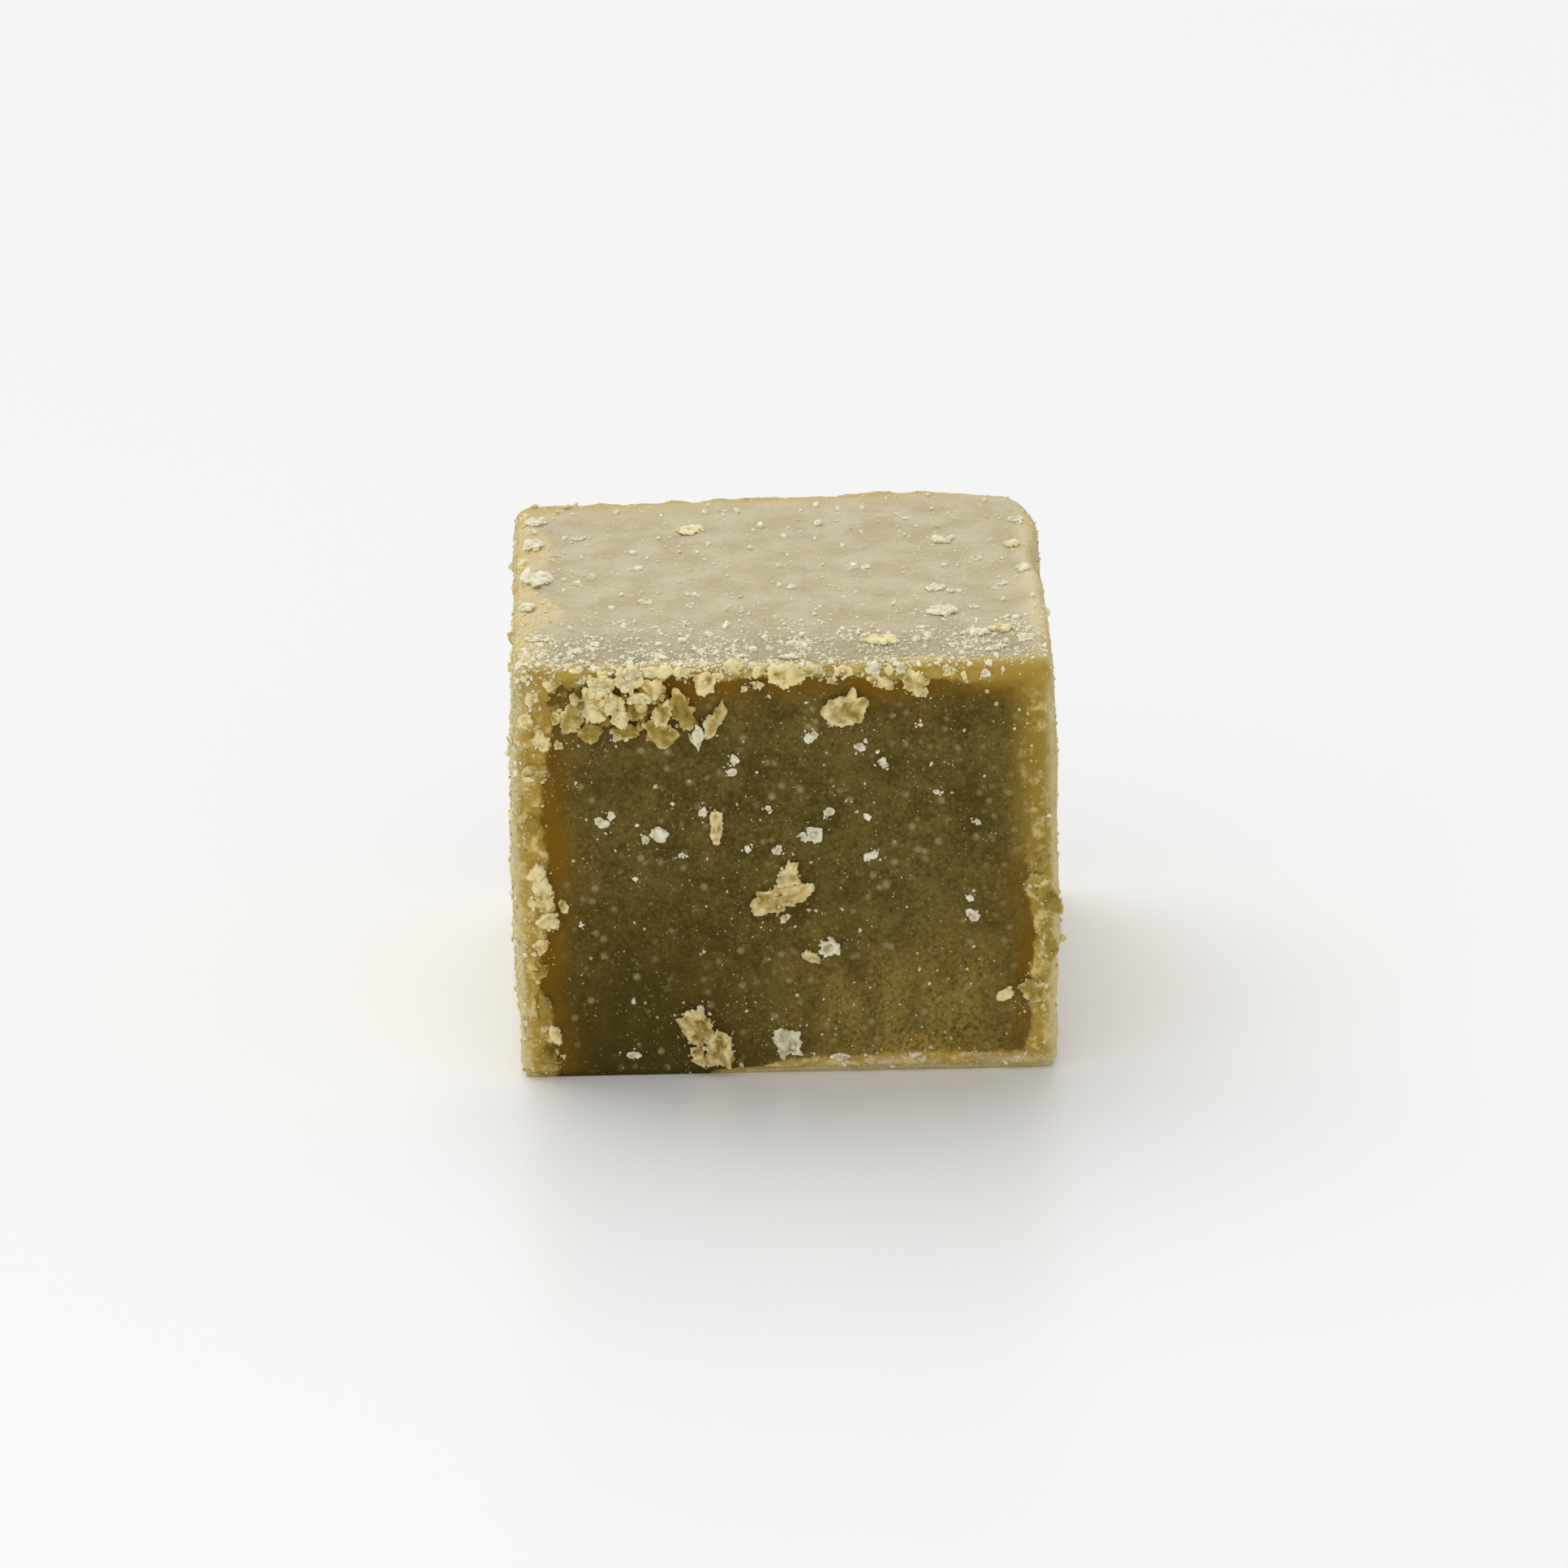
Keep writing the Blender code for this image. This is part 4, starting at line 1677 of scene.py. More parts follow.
@dataclass
class CrumbCluster:
    """The heap of torn flakes and lumpy crumbs stuck under the top front edge."""

    crumbler: Crumbler
    # Dark plates under the heap: painted shade where they show between the crumbs, and the brown granular
    # patch at its left end.
    gap_shade_beds: tuple[Flake, ...] = (
        Flake(-6.65, 14.75, 2.00, 1.70, 0, 0.0, -0.30, 0.30),
        Flake(-4.95, 14.75, 2.20, 1.70, 0, 0.0, -0.25, 0.30),
        Flake(-7.85, 15.00, 1.50, 0.90, 0, 0.0, -0.45, 0.10),
    )
    flakes: tuple[Flake, ...] = (
        Flake(-7.00, 13.78, 1.05, 0.62, 8, 0.10, 0.20),
        Flake(-5.82, 13.82, 1.15, 0.58, -4, 0.12, 0.14),
        Flake(-3.72, 14.58, 0.85, 1.65, 12, 0.15, 0.12, lean=12),
        Flake(-4.60, 13.78, 1.25, 1.00, -35, 0.20, 0.20, tip=8),
        Flake(-7.74, 14.30, 0.85, 1.10, -15, 0.12, 0.40, lean=-8),
        Flake(-8.32, 14.28, 0.36, 0.50, 0, 0.05, 0.60),
        Flake(-5.30, 14.60, 1.00, 0.90, 0, 0.15, 0.05),
        Flake(-4.42, 14.50, 0.85, 0.85, 0, 0.32, 0.33, lean=10),
        Flake(-6.80, 14.85, 1.30, 1.45, 20, 0.25, 0.72, lean=-8),
        Flake(-4.70, 15.38, 1.05, 0.90, 0, 0.32, 0.78),
        Flake(-6.00, 15.00, 0.80, 0.60, 25, 0.45, 0.90),
        Flake(-5.86, 14.38, 0.70, 0.62, -30, 0.42, 0.90, lean=8),
        Flake(-5.20, 15.16, 0.78, 0.48, -12, 0.50, 1.00),
        Flake(-6.60, 15.62, 1.10, 0.70, 0, 0.22, 0.95, tip=-12),
        Flake(-5.50, 15.70, 1.30, 0.70, 0, 0.25, 1.00, tip=-14),
        Flake(-4.55, 15.90, 1.10, 0.50, 0, 0.20, 0.95, tip=-20),
    )
    rim_bits: Ring = Ring(3, (0.07, 0.20), (0.7, 1.1), 0.10)
    top_bits: Ring = Ring(2, (0.06, 0.16), (0.0, 0.8), 0.0)
    lumps: tuple[tuple[Flake, Ring], ...] = (
        (Flake(-6.70, 14.90, 1.20, 1.50, 20, 0.25, 0.85), Ring(9, (0.32, 0.66), WHOLE, 0.28)),
        (Flake(-5.60, 15.00, 1.70, 1.20, 0, 0.25, 0.85), Ring(8, (0.30, 0.60), WHOLE, 0.28)),
        (Flake(-5.60, 15.74, 2.60, 0.50, 0, 0.12, 0.95), Ring(11, (0.36, 0.70), WHOLE, 0.20)),
        (Flake(-4.55, 14.70, 1.10, 1.30, 0, 0.22, 0.32), Ring(5, (0.22, 0.46), WHOLE, 0.22)),
        (Flake(-7.60, 14.60, 1.10, 1.00, 0, 0.05, 0.38), Ring(7, (0.16, 0.36), WHOLE, 0.15)),
        (Flake(-5.60, 13.75, 3.20, 0.60, 0, 0.08, 0.28), Ring(8, (0.14, 0.32), WHOLE, 0.12)),
        (Flake(-7.85, 15.10, 1.20, 0.60, 0, 0.00, 0.10), Ring(12, (0.10, 0.22), WHOLE, 0.05)),
    )

    def build(self) -> bpy.types.Object:
        """Lay the flakes from the deepest to the foremost, with crumbs on and between them.

        Returns:
            The piece, in mm.
        """
        crumbler = self.crumbler
        heap = Heap(crumbler.nuggets, crumbler.dice)
        fine = Heap(crumbler.shards, crumbler.dice)
        # The dark beds first: painted shade in the gaps.
        for gap_shade_bed in self.gap_shade_beds:
            crumbler.lay_plate(heap, Face.FRONT, gap_shade_bed)
        for flake in self.flakes:
            crumbler.lay_plate(heap, Face.FRONT, flake)
            crumbler.lay_bits(fine, Face.FRONT, flake, self.rim_bits)
            crumbler.lay_bits(fine, Face.FRONT, flake, replace(self.top_bits, level=flake.thickness))
        for area, ring in self.lumps:
            crumbler.lay_bits(heap, Face.FRONT, area, ring)
        heap.join(fine)
        return heap.make("crumb_cluster")


@dataclass
class LooseFlakes:
    """Flakes and shavings that lie singly on the cut face and on the top."""

    crumbler: Crumbler
    torn: tuple[Flake, ...] = (
        Flake(-0.13, 7.03, lift=0.10, tone=0.52, thickness=0.26, corners=(
            (1.2, 0.35), (1.1, 0.6), (0.5, 0.55), (-0.3, 0.5), (-1.0, 0.2), (-1.2, -0.15), (-1.1, -0.7),
            (-0.1, -0.45), (0.8, -0.1))),
        Flake(0.14, 8.00, lift=0.06, tone=0.68, thickness=0.24, corners=(
            (0.4, 0.05), (0.35, 0.4), (0.05, 0.55), (-0.3, 0.25), (-0.45, -0.5), (0.5, -0.5))),
        Flake(2.28, 14.42, lift=0.10, tone=0.54, thickness=0.26, corners=(
            (0.85, 0.0), (0.85, 0.45), (0.5, 0.55), (0.3, 0.95), (0.1, 0.6), (-0.5, 0.45), (-0.95, 0.0),
            (-0.7, -0.5), (-0.2, -0.65), (0.5, -0.55))),
        Flake(-2.56, 14.07, lift=0.08, tone=0.45, corners=(
            (0.3, 0.9), (0.2, 0.65), (-0.1, 0.35), (-0.45, -0.05), (-0.4, -0.6), (-0.25, -0.75),
            (0.1, -0.3), (0.45, 0.35))),
        Flake(-2.58, 9.93, lift=0.05, tone=0.70, corners=(
            (0.25, 0.6), (0.1, 0.7), (-0.2, 0.6), (-0.25, -0.3), (-0.1, -0.7), (0.1, -0.65), (0.2, -0.1))),
        Flake(-3.20, 1.78, lift=0.12, tone=0.50, thickness=0.34, corners=(
            (0.45, 0.35), (0.0, 0.8), (-0.6, 0.85), (-0.95, 0.55), (-0.8, 0.1), (-0.5, -0.4),
            (0.0, -0.6), (0.5, -0.4))),
        Flake(-2.62, 1.18, lift=0.16, tone=0.56, thickness=0.34, corners=(
            (0.55, 0.1), (0.2, 0.55), (-0.4, 0.5), (-0.5, -0.1), (-0.3, -0.7), (0.4, -0.75))),
        Flake(0.90, 4.70, lift=0.05, tone=0.75, corners=(
            (0.35, -0.15), (0.2, 0.05), (-0.2, 0.28), (-0.4, 0.15), (-0.1, -0.2), (0.3, -0.35))),
        Flake(-8.90, 7.33, lift=0.12, tone=0.80, corners=(
            (0.4, -0.5), (0.35, 0.2), (0.1, 0.75), (-0.3, 0.9), (-0.5, 0.3), (-0.3, -0.4), (0.1, -0.8))),
    )
    front: Rows = (
        (-2.91, 15.62, 0.70, 1.00, -10, 0.12, 0.80, 0.25), (-1.85, 16.10, 0.80, 0.50, 0, 0.05, 0.85, 0.20),
        (-2.42, 15.78, 0.50, 0.30, 0, 0.05, 0.80, 0.15), (-8.85, 13.35, 0.60, 0.85, 20, 0.18, 0.90, 0.22),
        (-8.20, 13.18, 0.40, 0.34, 0, 0.02, 0.80, 0.15), (-3.37, 13.42, 0.30, 0.36, 0, 0.05, 0.60, 0.15),
        (0.03, 15.74, 1.48, 0.82, -2, 0.14, 0.85, 0.24), (4.94, 15.36, 0.95, 0.98, -30, 0.10, 0.65, 0.24),
        (3.53, 15.52, 0.95, 0.42, -8, 0.04, 0.70, 0.18), (3.95, 15.30, 0.32, 0.32, 0, 0.03, 0.80, 0.15),
        (-0.94, 15.44, 0.34, 0.42, 20, 0.04, 0.75, 0.15), (-1.45, 15.28, 0.26, 0.22, 0, 0.02, 0.90, 0.12),
        (-0.10, 6.18, 0.26, 0.34, 0, 0.02, 0.70, 0.14), (-3.45, 0.95, 0.50, 0.45, 0, 0.12, 0.55, 0.22),
        (-3.10, 0.62, 1.00, 0.45, 0, 0.08, 0.45, 0.18), (-2.40, 0.70, 0.60, 0.50, 0, 0.14, 0.45, 0.22),
        (9.25, 3.20, 1.20, 0.80, -15, 0.17, 0.22, 0.20), (8.10, 3.05, 0.68, 0.42, 25, 0.0, 1.00, 0.18),
        (9.50, 6.90, 0.90, 1.60, 20, 0.15, 0.05, 0.14), (9.30, 8.20, 0.60, 0.90, -15, 0.13, 0.0, 0.14),
        (9.60, 4.90, 0.60, 1.40, 5, 0.13, 0.10, 0.14), (-9.12, 8.25, 0.70, 0.62, 30, 0.18, 1.00, 0.22),
        (-8.80, 6.42, 0.85, 0.62, 15, 0.23, 0.95, 0.22), (-8.22, 6.94, 0.34, 0.44, 0, 0.03, 0.50, 0.15),
        (-9.05, 5.36, 0.58, 0.66, 0, 0.17, 0.55, 0.18), (-8.72, 1.72, 0.42, 0.72, 15, 0.18, 1.00, 0.18),
        (-9.00, 0.95, 0.62, 0.80, 0, 0.15, 0.0, 0.14), (-9.15, 4.40, 0.60, 0.62, 25, 0.13, 0.0, 0.14),
        (-9.10, 2.90, 0.50, 0.80, 0, 0.13, 0.0, 0.12), (-9.30, 15.10, 0.60, 0.55, 30, 0.13, 0.90, 0.20),
        (-9.45, 14.20, 0.55, 0.70, 10, 0.13, 0.85, 0.20), (-8.60, 15.60, 0.70, 0.42, 0, 0.0, 0.85, 0.20),
        (-9.30, 12.20, 0.50, 0.62, 0, 0.13, 0.40, 0.16), (-9.20, 10.10, 0.46, 0.66, 0, 0.13, 0.0, 0.14),
        (6.10, 15.80, 0.62, 0.36, 0, 0.0, 0.80, 0.18), (0.95, 15.95, 0.62, 0.42, 0, 0.03, 0.85, 0.20),
        (-0.95, 15.98, 0.55, 0.42, 0, 0.03, 0.85, 0.20), (2.20, 15.88, 0.70, 0.40, 0, 0.02, 0.80, 0.18),
        (-3.75, 15.92, 0.60, 0.50, 0, 0.05, 0.85, 0.20), (1.75, 15.55, 0.40, 0.26, 0, 0.0, 0.75, 0.15),
    )
    top: Rows = (
        (-3.35, 5.99, 1.05, 0.9, 20, 0.0, 2.2, 0.12), (3.61, -7.53, 1.4, 0.8, -10, 0.0, 1.8, 0.18),
        (8.20, -6.40, 0.9, 0.7, 10, 0.0, 1.8, 0.16), (9.02, 3.49, 0.6, 0.6, 0, 0.0, 2.0, 0.15),
    )

    def build(self) -> bpy.types.Object:
        """Lay every flake.

        Returns:
            The piece, in mm.
        """
        heap = Heap(self.crumbler.shards, self.crumbler.dice)
        for flake in (*self.torn, *(Flake(*row) for row in self.front)):
            self.crumbler.lay(heap, Face.FRONT, flake)
        for row in self.top:
            self.crumbler.lay(heap, Face.TOP, Flake(*row))
        return heap.make("loose_flakes")


def off_ground(places: Array, size: Array) -> None:
    """Lift what would reach below the block's foot."""
    places[:, 2] = np.maximum(places[:, 2], OFF_GROUND * size.max(axis=1))


@dataclass(frozen=True)
class Strewing:
    """How many crumbs, their smallest and largest size in mm, and their tones' middle and spread."""

    count: int
    sizes: Span
    tone: Span


@dataclass
class EdgeCrumbs:
    """Crumbs that the drying crust sheds along every edge, and frost caked on the front ones.

    Sizes are in mm. A rise holds where it starts and where it ends.
    """

    body: GanacheBody
    ground: Ground
    crumbler: Crumbler
    lumps: Strewing = Strewing(230, (0.14, 0.46), (0.75, 0.2))
    bits: Strewing = Strewing(2600, (0.05, 0.20), (0.65, 0.2))
    frost: Strewing = Strewing(360, (0.07, 0.26), (0.45, 0.25))
    size_skew: float = 2.5
    shape_limits: Rows = ((0.7, 0.7, 0.4), (1.3, 1.3, 0.8))
    stand: float = 0.2
    # Painted light: crumbs facing up are paler.
    painted_top_light: float = 0.3
    tone_limits: Span = (0.1, 1.3)
    lip_below_top: Span = (0.8, 0.1)
    lip_depth: float = 0.6
    lip_gap: Span = (-8.0, 0.9)
    lip_gap_share: float = 0.7
    patch_size: float = 1.4
    patch_rise: Span = (-0.05, 0.35)
    top_band: float = 0.9
    front_band: float = 2.0
    front_shares: Span = (0.35, 0.65)
    even_share: float = 0.15
    patch_share: float = 0.6
    top_share: float = 0.6
    left_share: float = 0.4
    soft_fade: float = 0.7
    back_rise: Span = (7.0, 9.5)
    back_fade: float = 0.8
    lip_share: float = 0.45
    lip_patches: Span = (0.6, 1.4)
    lip_soft_fade: float = 0.8
    loose_share: float = 0.02
    lump_foot: Span = (0.2, 0.5)
    bit_foot: Span = (0.1, 0.3)
    corner_widths: Span = (0.35, 0.6)
    corner_frost: float = 0.7
    left_end_widths: Span = (1.6, 0.5)
    left_end_rise: Span = (12.5, 15.0)
    left_end_frost: float = 0.25
    base_stretch: Span = (0.3, 0.3)
    base_depth: float = 0.3
    base_rise: Span = (-1.0, 1.0)
    base_frost: float = 0.3
    frost_right_rise: Span = (1.0, 6.0)
    frost_right_fade: float = 0.75
    frost_patch_size: float = 1.1
    frost_patch_rise: Span = (-0.2, 0.3)
    frost_least: float = 0.3

    def gather(self, mould: Mould, strewing: Strewing, density: Array) -> Heap:
        """Strew crumbs over the crust, more often small than large.

        Args:
            mould: What they are copied from.
            strewing: How many, how large and of what tones.
            density: How thickly they lie at each point.

        Returns:
            A heap of them.
        """
        dice = self.crumbler.dice
        count = strewing.count
        spots, normals = self.ground.pick(density, count, dice)
        size = mix(*strewing.sizes, dice.random(count) ** self.size_skew)[:, None]
        size = size * dice.uniform(*self.shape_limits, (count, 3))
        places = spots + normals * size[:, 2:] * self.stand
        off_ground(places, size)
        heap = Heap(mould, dice)
        middle, spread = strewing.tone
        # Painted light: paler the more a crumb faces up.
        tones = middle + spread * dice.normal(size=count) + self.painted_top_light * normals[:, 2]
        heap.add(places, normals, size, np.clip(tones, *self.tone_limits))
        return heap

    def near_lip(self) -> Array:
        """How near each point is to the top front edge, less where its left end is bare.

        Returns:
            0 far from it, up to 1 on it.
        """
        sharp, form = self.body.sharp, self.body.form
        start, full = self.lip_below_top
        top_edge = smooth_step(form.height - start, form.height - full, sharp[:, 2])
        gap = 1.0 - self.lip_gap_share * bell(sharp[:, 0], *self.lip_gap)
        return top_edge * bell(sharp[:, 1], -form.half[1], self.lip_depth) * gap

    def density(self) -> Array:
        """Patchy along the crust, thickest on the top edges and along the top's left side.

        Returns:
            How thickly they lie at each point.
        """
        sharp, form = self.body.sharp, self.body.form
        patches = smooth_step(*self.patch_rise, soft_noise(sharp, self.patch_size, (6.0, 6.0, 1.0)))
        top_edge = smooth_step(form.height - self.top_band, form.height, sharp[:, 2])
        left_top = top_edge * bell(sharp[:, 0], -form.half[0], self.top_band)
        back = smooth_step(*self.back_rise, sharp[:, 1])
        least, more = self.front_shares
        front = least + more * bell(sharp[:, 1], -form.half[1], self.front_band)
        on_edges = self.top_share * top_edge + self.left_share * left_top
        crusted = self.body.crusted * front * (self.even_share + self.patch_share * patches + on_edges)
        crusted *= (1.0 - self.soft_fade * self.body.soft) * (1.0 - self.back_fade * back)
        least, more = self.lip_patches
        lipped = self.near_lip() * (least + more * patches) * (1.0 - self.lip_soft_fade * self.body.soft)
        return crusted + self.lip_share * lipped

    def frosting(self) -> Array:
        """Thick on the top front edge, thinner down the front's left corner and along its foot.

        Returns:
            How thickly they lie at each point.
        """
        sharp, form = self.body.sharp, self.body.form
        x, y, z = sharp.T
        half_x, half_y, _ = form.half
        across, deep = self.corner_widths
        corner = bell(x, -half_x, across) * bell(y, -half_y, deep)
        across, deep = self.left_end_widths
        left_end = bell(x, -half_x, across) * smooth_step(*self.left_end_rise, z) * bell(y, -half_y, deep)
        base = bell(z, *self.base_stretch) * bell(y, -half_y, self.base_depth)
        base *= smooth_step(*self.base_rise, x)
        patches = soft_noise(sharp, self.frost_patch_size, (1.0, 6.0, 7.0))
        patches = self.frost_least + smooth_step(*self.frost_patch_rise, patches)
        lip = self.near_lip() * (1.0 - self.frost_right_fade * smooth_step(*self.frost_right_rise, x))
        front = self.corner_frost * corner
        return (lip + front + self.left_end_frost * left_end + self.base_frost * base) * patches

    def build_lumps(self) -> bpy.types.Object:
        """Larger crumbs."""
        density = self.density() * smooth_step(*self.lump_foot, self.body.sharp[:, 2])
        return self.gather(self.crumbler.nuggets, self.lumps, density).make("edge_lumps")

    def build_bits(self) -> bpy.types.Object:
        """Fine angular bits, a few of them away from the edges."""
        density = (self.density() + self.loose_share) * smooth_step(*self.bit_foot, self.body.sharp[:, 2])
        return self.gather(self.crumbler.shards, self.bits, density).make("edge_bits")

    def build_frost(self) -> bpy.types.Object:
        """Whitish grains caked on the front edges."""
        return self.gather(self.crumbler.shards, self.frost, self.frosting()).make("edge_frost")


@dataclass(frozen=True)
class Dust:
    """Powder on one face.

    How many grains, their smallest size in mm, how white they are, how thickly they lie on
    average, how much that varies, and how much more of it the crust holds.
    """

    count: int
    finest: float = 0.038
    whiteness: float = 0.15
    level: float = 0.6
    contrast: float = 2.6
    on_crust: float = 1.2


@dataclass
class PowderDusting:
    """Fine powder on one face. Sizes are in mm."""

    body: GanacheBody
    ground: Ground
    mould: Mould
    dice: np.random.Generator
    face: Face
    dust: Dust
    spread: float = 0.65
    coarsest: float = 0.36
    shape_limits: Span = (0.75, 1.2)
    whiter_by_size: float = 2.5
    tone_spread: float = 0.25
    stand: float = 0.15
    face_turn: Span = (0.55, 0.75)
    patch_size: float = 1.6
    least: float = 0.06
    top_least: float = 0.12
    top_front: float = 2.0
    top_stretch: Span = (-9.3, 3.2)
    right_lip_rise: Span = (2.0, 7.0)
    right_lip_stretch: Span = (-10.0, 1.2)
    right_lip_fade: float = 0.7

    def density(self) -> Array:
        """Where powder settles: patchy, thicker on the crust, and on the top towards its front.

        Returns:
            How thickly it lies at each point.
        """
        sharp = self.body.sharp
        patches = self.dust.contrast * soft_noise(sharp, self.patch_size, (8.0, 1.0, 3.0))
        patches = np.clip(self.dust.level + patches, self.least, None)
        on_face = smooth_step(*self.face_turn, self.body.normals @ self.face.out)
        density = on_face * patches * (1.0 + self.dust.on_crust * self.body.crusted)
        if self.face is Face.TOP:
            density *= self.top_least + self.top_front * bell(sharp[:, 1], *self.top_stretch)
            right_lip = smooth_step(*self.right_lip_rise, sharp[:, 0])
            right_lip *= bell(sharp[:, 1], *self.right_lip_stretch)
            density *= 1.0 - self.right_lip_fade * right_lip
        return density

    def build(self) -> bpy.types.Object:
        """Strew the powder.

        Returns:
            The piece, in mm.
        """
        dust, dice = self.dust, self.dice
        spots, normals = self.ground.pick(self.density(), dust.count, dice)
        size = dust.finest * np.exp(np.abs(dice.normal(0.0, self.spread, dust.count)))
        size = np.minimum(size, self.coarsest)[:, None] * dice.uniform(*self.shape_limits, (dust.count, 3))
        tones = dust.whiteness + self.whiter_by_size * size[:, 0]
        tones = tones + self.tone_spread * dice.normal(size=dust.count)
        places = spots + normals * size[:, 2:] * self.stand
        off_ground(places, size)
        heap = Heap(self.mould, dice)
        heap.add(places, normals, size, tones)
        return heap.make(f"powder_{self.face.word}")


@dataclass
class PowderClumps:
    """White clumps of caked powder, each with a few stray grains round it."""

    crumbler: Crumbler
    front: Rows = (
        (-3.18, 13.52, 0.45, 0.90, 8, 0.10), (-6.72, 10.15, 0.60, 0.38, -15), (-6.41, 10.42, 0.30, 0.34, 0),
        (-3.09, 10.49, 0.34, 0.36, 0), (-1.88, 12.52, 0.34, 0.42, 20), (-2.02, 12.05, 0.34, 0.28, 0),
        (-4.69, 9.64, 0.68, 0.60, 10), (-5.20, 9.45, 0.26, 0.32, 0), (1.12, 9.49, 0.58, 0.60, 0),
        (0.74, 9.40, 0.26, 0.44, 30), (-0.26, 8.94, 0.46, 0.34, 35), (1.57, 5.04, 0.76, 0.76, 60, 0.03),
        (0.01, 1.27, 1.02, 0.98, 0, 0.05, 0.45), (-0.19, 0.71, 0.28, 0.30, 0),
        (-3.20, 2.64, 0.32, 0.30, 30, 0.15),
        (0.92, 13.30, 0.36, 0.34, 0), (1.15, 13.42, 0.26, 0.22, 0), (2.84, 12.87, 0.44, 0.28, -15),
        (3.67, 12.26, 0.34, 0.46, 15), (3.35, 16.00, 0.56, 0.50, 0, 0.04), (-3.10, 0.55, 0.90, 0.30, 0),
        (1.64, 10.37, 0.42, 0.30, 20), (-1.40, 9.00, 0.25, 0.25, 0), (-3.90, 8.80, 0.25, 0.22, 0),
        (3.08, 8.60, 0.60, 0.32, 25), (6.81, 6.20, 0.50, 0.38, -20), (6.68, 6.86, 0.30, 0.30, 0),
        (-7.36, 15.68, 0.28, 0.28, 0), (-6.12, 13.58, 0.25, 0.40, 0, 0.15), (3.45, 15.78, 0.42, 0.42, 0),
        (4.42, 16.02, 0.40, 0.40, 0), (1.27, 15.98, 0.36, 0.34, 0), (5.25, 15.00, 0.40, 0.28, -30, 0.08),
        (1.90, 0.62, 0.75, 0.24, 0), (3.05, 0.60, 0.60, 0.26, 0), (4.75, 0.62, 0.85, 0.22, 0),
        (-5.75, 0.85, 0.55, 0.25, 0), (7.60, 15.70, 0.35, 0.30, 0), (-0.56, 14.95, 0.18, 0.16, 0),
        (5.13, 13.70, 0.16, 0.18, 0), (5.60, 11.10, 0.20, 0.16, 0), (-7.60, 6.10, 0.18, 0.14, 0),
        (-5.60, 7.90, 0.20, 0.18, 0), (-0.60, 10.60, 0.20, 0.18, 0), (7.10, 9.90, 0.18, 0.30, 60),
    )
    top: Rows = (
        (6.33, 4.12, 0.85, 0.60, 0), (6.01, -1.35, 0.90, 0.50, 40), (6.66, -1.72, 0.50, 0.40, 0),
        (6.21, -4.22, 1.10, 0.80, 20), (7.33, -3.63, 0.40, 0.35, 0), (7.30, -6.80, 1.20, 0.55, 10),
        (9.15, -7.34, 0.70, 0.60, 0), (6.48, -8.03, 0.40, 0.35, 0), (8.53, -0.96, 0.45, 0.40, 0),
        (3.27, 1.27, 0.35, 0.35, 0), (-5.10, -2.30, 0.50, 0.42, 0), (-5.44, 1.71, 0.40, 0.38, 0),
        (-3.32, -1.53, 0.35, 0.35, 0), (-7.63, 5.46, 0.50, 0.45, 0), (-7.58, -8.11, 0.70, 0.55, 0),
        (0.22, -9.14, 0.85, 0.50, 0), (9.10, 6.20, 0.60, 0.50, 0), (7.60, 2.10, 0.50, 0.40, 0),
        (7.90, -8.60, 0.70, 0.45, 30), (-1.60, -8.90, 0.45, 0.35, 0), (-4.60, -8.60, 0.50, 0.35, 0),
        (-9.45, 4.90, 0.80, 1.10, 0, 0.0, 0.7), (-9.15, 0.70, 1.00, 1.50, 20, 0.0, 0.7),
        (9.40, 0.80, 0.50, 0.90, 0), (-9.55, -2.60, 0.60, 0.80, 0, 0.0, 0.7),
        (-9.20, 7.60, 0.70, 0.90, 30, 0.0, 0.6), (-8.95, -6.40, 0.60, 0.60, 0),
    )
    front_flatness: float = 0.35
    top_flatness: float = 0.16
    grain_counts: tuple[int, int] = (4, 14)
    finest: float = 0.08
    coarsest: float = 0.4
    grain_ring: Span = (0.2, 1.0)
    grain_level: float = 0.6
    strays: int = 3
    stray_sizes: Span = (0.05, 0.12)
    stray_ring: Span = (1.1, 2.2)

    def build(self) -> bpy.types.Object:
        """Lay every clump.

        Returns:
            The piece, in mm.
        """
        crumbler = self.crumbler
        heap = Heap(crumbler.shards, crumbler.dice)
        for face, rows, flatness in ((Face.FRONT, self.front, self.front_flatness),
                                     (Face.TOP, self.top, self.top_flatness)):
            for row in rows:
                clump = Flake(*row)
                size = clump.size
                clump = replace(clump, thickness=flatness * size)
                crumbler.lay_plate(heap, face, clump)
                least, by_area = self.grain_counts
                for ring in (
                    Ring(round(least + by_area * size**2), (self.finest, self.coarsest * size),
                         self.grain_ring, self.grain_level * clump.thickness),
                    Ring(self.strays, self.stray_sizes, self.stray_ring, crumbler.ground_level - clump.lift),
                ):
                    crumbler.lay_bits(heap, face, clump, ring)
        return heap.make("powder_clumps")


@dataclass(frozen=True)
class Lamp:
    """A wide soft light: its strength, and its width, height and direction in degrees."""

    strength: float
    width: float
    elevation: float
    azimuth: float


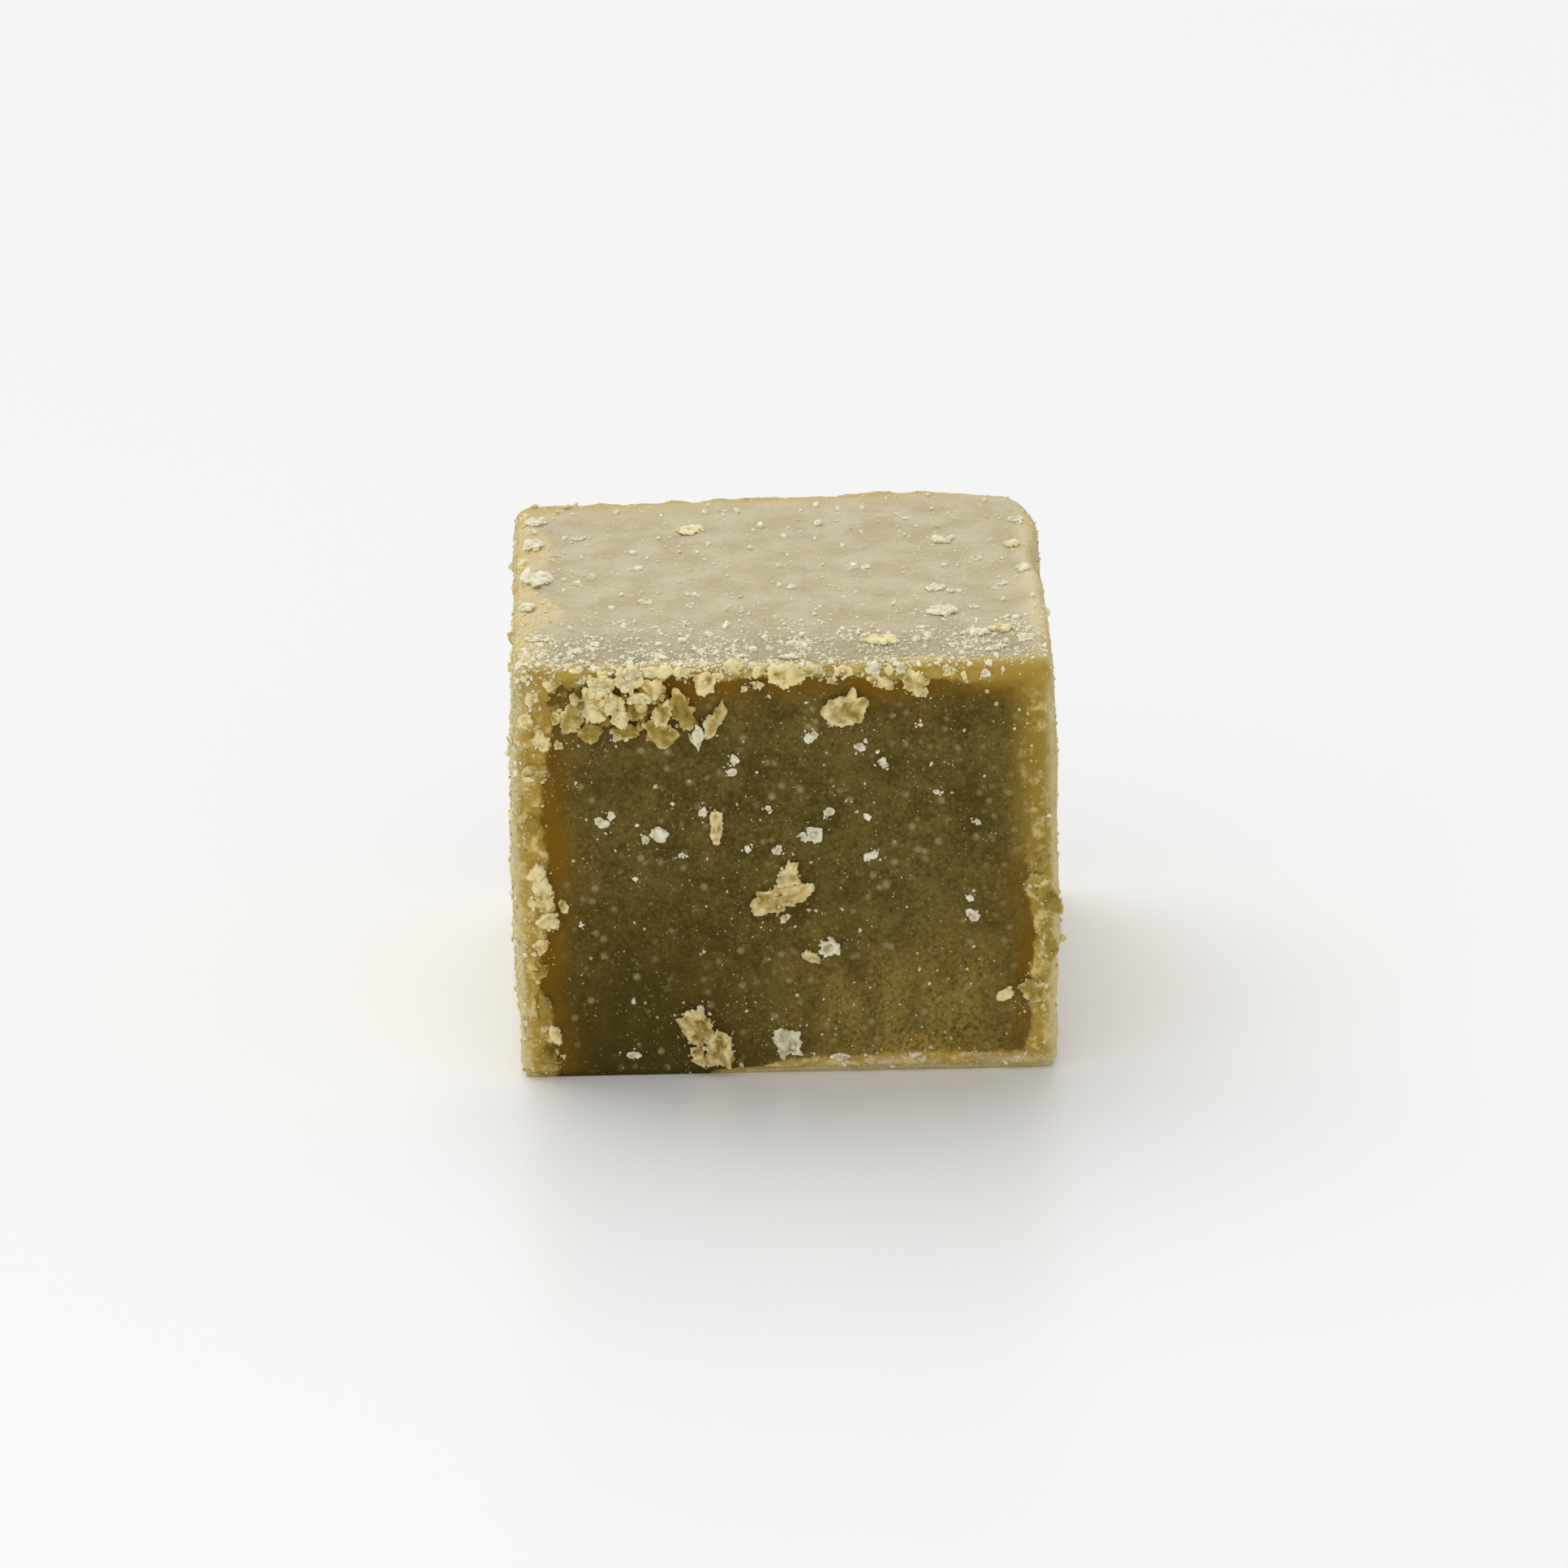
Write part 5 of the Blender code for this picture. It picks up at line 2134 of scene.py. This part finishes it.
@dataclass
class Studio:
    """Pale floor, soft light and the camera. Sizes are in mm, angles in degrees."""

    floor_size: float = 3000.0
    floor_cells: int = 60
    floor_colour: Colour = (0.945, 0.943, 0.94)
    floor_darker: float = 0.985
    floor_clouds: Grain = Grain(120.0)
    floor_grain: Grain = Grain(2.0)
    floor_relief: float = 0.002
    floor_roughness: float = 0.32
    sky: float = 0.56
    backdrop: float = 0.92
    key: Lamp = Lamp(1.45, 60.0, 55.0, 335.0)
    fill: Lamp = Lamp(0.55, 100.0, 25.0, 200.0)
    lamp_height: float = 500.0
    sensor: float = 36.0
    photo_side: float = 1932.0
    photo_focal: float = 6000.0
    closer: float = 2.3
    pitch: float = 19.7
    azimuth: float = 0.515
    roll: float = -0.98
    seat: Triple = (-3.03, -402.99, 149.70)
    aim_right: float = -8.0
    aim_up: float = 34.0
    clip_start: float = 10.0

    def lay_floor(self) -> None:
        """A wide pale floor with a faint grain."""
        deselect_all()
        bpy.ops.mesh.primitive_grid_add(x_subdivisions=self.floor_cells, y_subdivisions=self.floor_cells,
                                        size=self.floor_size * MM)
        floor = bpy.context.object
        floor.name = "floor"
        bench = Bench("floor")
        darker = tuple(self.floor_darker * value for value in self.floor_colour)
        colour = bench.tint(bench.noise(self.floor_clouds), self.floor_colour, darker)
        relief = bench.bump(bench.noise(self.floor_grain), self.floor_relief)
        floor.data.materials.append(bench.finish(colour, self.floor_roughness, relief))
        floor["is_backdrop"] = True

    def light(self) -> None:
        """An even sky, one very wide soft light from the back left and a weaker one from the front."""
        world = bpy.data.worlds.new("studio")
        bpy.context.scene.world = world
        world.use_nodes = True
        tree = world.node_tree
        ground = tree.nodes["Background"]
        ground.inputs["Strength"].default_value = 1.0
        seen = tree.nodes.new("ShaderNodeLightPath").outputs["Is Camera Ray"]
        shade = tree.nodes.new("ShaderNodeMix")
        shade.data_type = "RGBA"
        tree.links.new(seen, shade.inputs[0])
        shade.inputs[6].default_value = (self.sky, self.sky, self.sky, 1.0)
        shade.inputs[7].default_value = (self.backdrop, self.backdrop, self.backdrop, 1.0)
        tree.links.new(shade.outputs[2], ground.inputs["Color"])
        for name, lamp in (("key", self.key), ("fill", self.fill)):
            deselect_all()
            bpy.ops.object.light_add(type="SUN", location=(0.0, 0.0, self.lamp_height * MM))
            sun = bpy.context.object
            sun.name = f"soft_{name}"
            sun.data.energy = lamp.strength
            sun.data.angle = math.radians(lamp.width)
            rise, turn = math.radians(lamp.elevation), math.radians(lamp.azimuth)
            level = math.cos(rise)
            towards = Vector((math.sin(turn) * level, math.cos(turn) * level, math.sin(rise)))
            sun.rotation_euler = towards.to_track_quat("Z", "Y").to_euler()

    def set_camera(self) -> None:
        """Stand the camera where the photograph was taken from, with a longer lens."""
        tip, turn, roll = (math.radians(angle) for angle in (self.pitch, self.azimuth, self.roll))
        ahead = Vector((math.sin(turn) * math.cos(tip), math.cos(turn) * math.cos(tip), -math.sin(tip)))
        level = Vector((math.cos(turn), -math.sin(turn), 0.0))
        above = level.cross(ahead)
        right = math.cos(roll) * level + math.sin(roll) * above
        up = -math.sin(roll) * level + math.cos(roll) * above
        aim = (ahead * self.photo_focal + right * self.aim_right + up * self.aim_up).normalized()
        across = aim.cross(up).normalized()
        turned = Matrix((across, across.cross(aim), -aim)).transposed()
        deselect_all()
        bpy.ops.object.camera_add(location=Vector(self.seat) * MM, rotation=turned.to_euler())
        camera = bpy.context.object
        camera.name = "camera"
        camera.data.sensor_width = self.sensor
        camera.data.lens = self.sensor * self.photo_focal / self.photo_side * self.closer
        camera.data.clip_start = self.clip_start * MM
        bpy.context.scene.camera = camera
        bpy.context.scene.view_settings.view_transform = "Standard"

    def build(self) -> None:
        """Set up the whole stage."""
        self.lay_floor()
        self.light()
        self.set_camera()


def corners() -> list[list[float]]:
    """Lowest and highest corner of what shows, as plain lists."""
    return [list(corner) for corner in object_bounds()]


DUSTS = {
    Face.FRONT: Dust(700),
    Face.BACK: Dust(700),
    Face.LEFT: Dust(2600),
    Face.RIGHT: Dust(2000),
    Face.TOP: Dust(3400, finest=0.052, whiteness=0.75, level=0.8, contrast=1.1, on_crust=0.2),
}
CRUMB_SEED = 11
DUST_SEED = 20


def main() -> None:
    """Build the pieces in order."""
    logging.basicConfig(level=logging.INFO, format="%(name)s: %(message)s")
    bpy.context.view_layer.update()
    form = BlockForm()
    crust = CrustPlan()
    Studio().build()
    body = GanacheBody(form, crust, Staining(form, crust))
    block = body.build()
    ground = Ground.of(block)
    grains = Mould.shards(detail=1, jitter=0.18, kinds=12)
    nuggets = Mould.nuggets(detail=3, kinds=10)
    crumb_finish = CrumbFinish().make()
    powder_finish = PowderFinish().make()
    finish_piece(block, GanacheFinish().make(), crisp=False)
    crumbler = Crumbler(form, nuggets, grains, Plate.model(), np.random.default_rng(CRUMB_SEED))
    finish_piece(CrumbCluster(crumbler).build(), crumb_finish)
    finish_piece(LooseFlakes(crumbler).build(), crumb_finish)
    finish_piece(PowderClumps(crumbler).build(), powder_finish)
    edge = EdgeCrumbs(body, ground, crumbler)
    finish_piece(edge.build_lumps(), crumb_finish)
    finish_piece(edge.build_bits(), crumb_finish)
    finish_piece(edge.build_frost(), powder_finish)
    for seed, (face, dust) in enumerate(DUSTS.items(), DUST_SEED):
        dusting = PowderDusting(body, ground, grains, np.random.default_rng(seed), face, dust)
        finish_piece(dusting.build(), powder_finish)


if __name__ == "__main__":
    main()
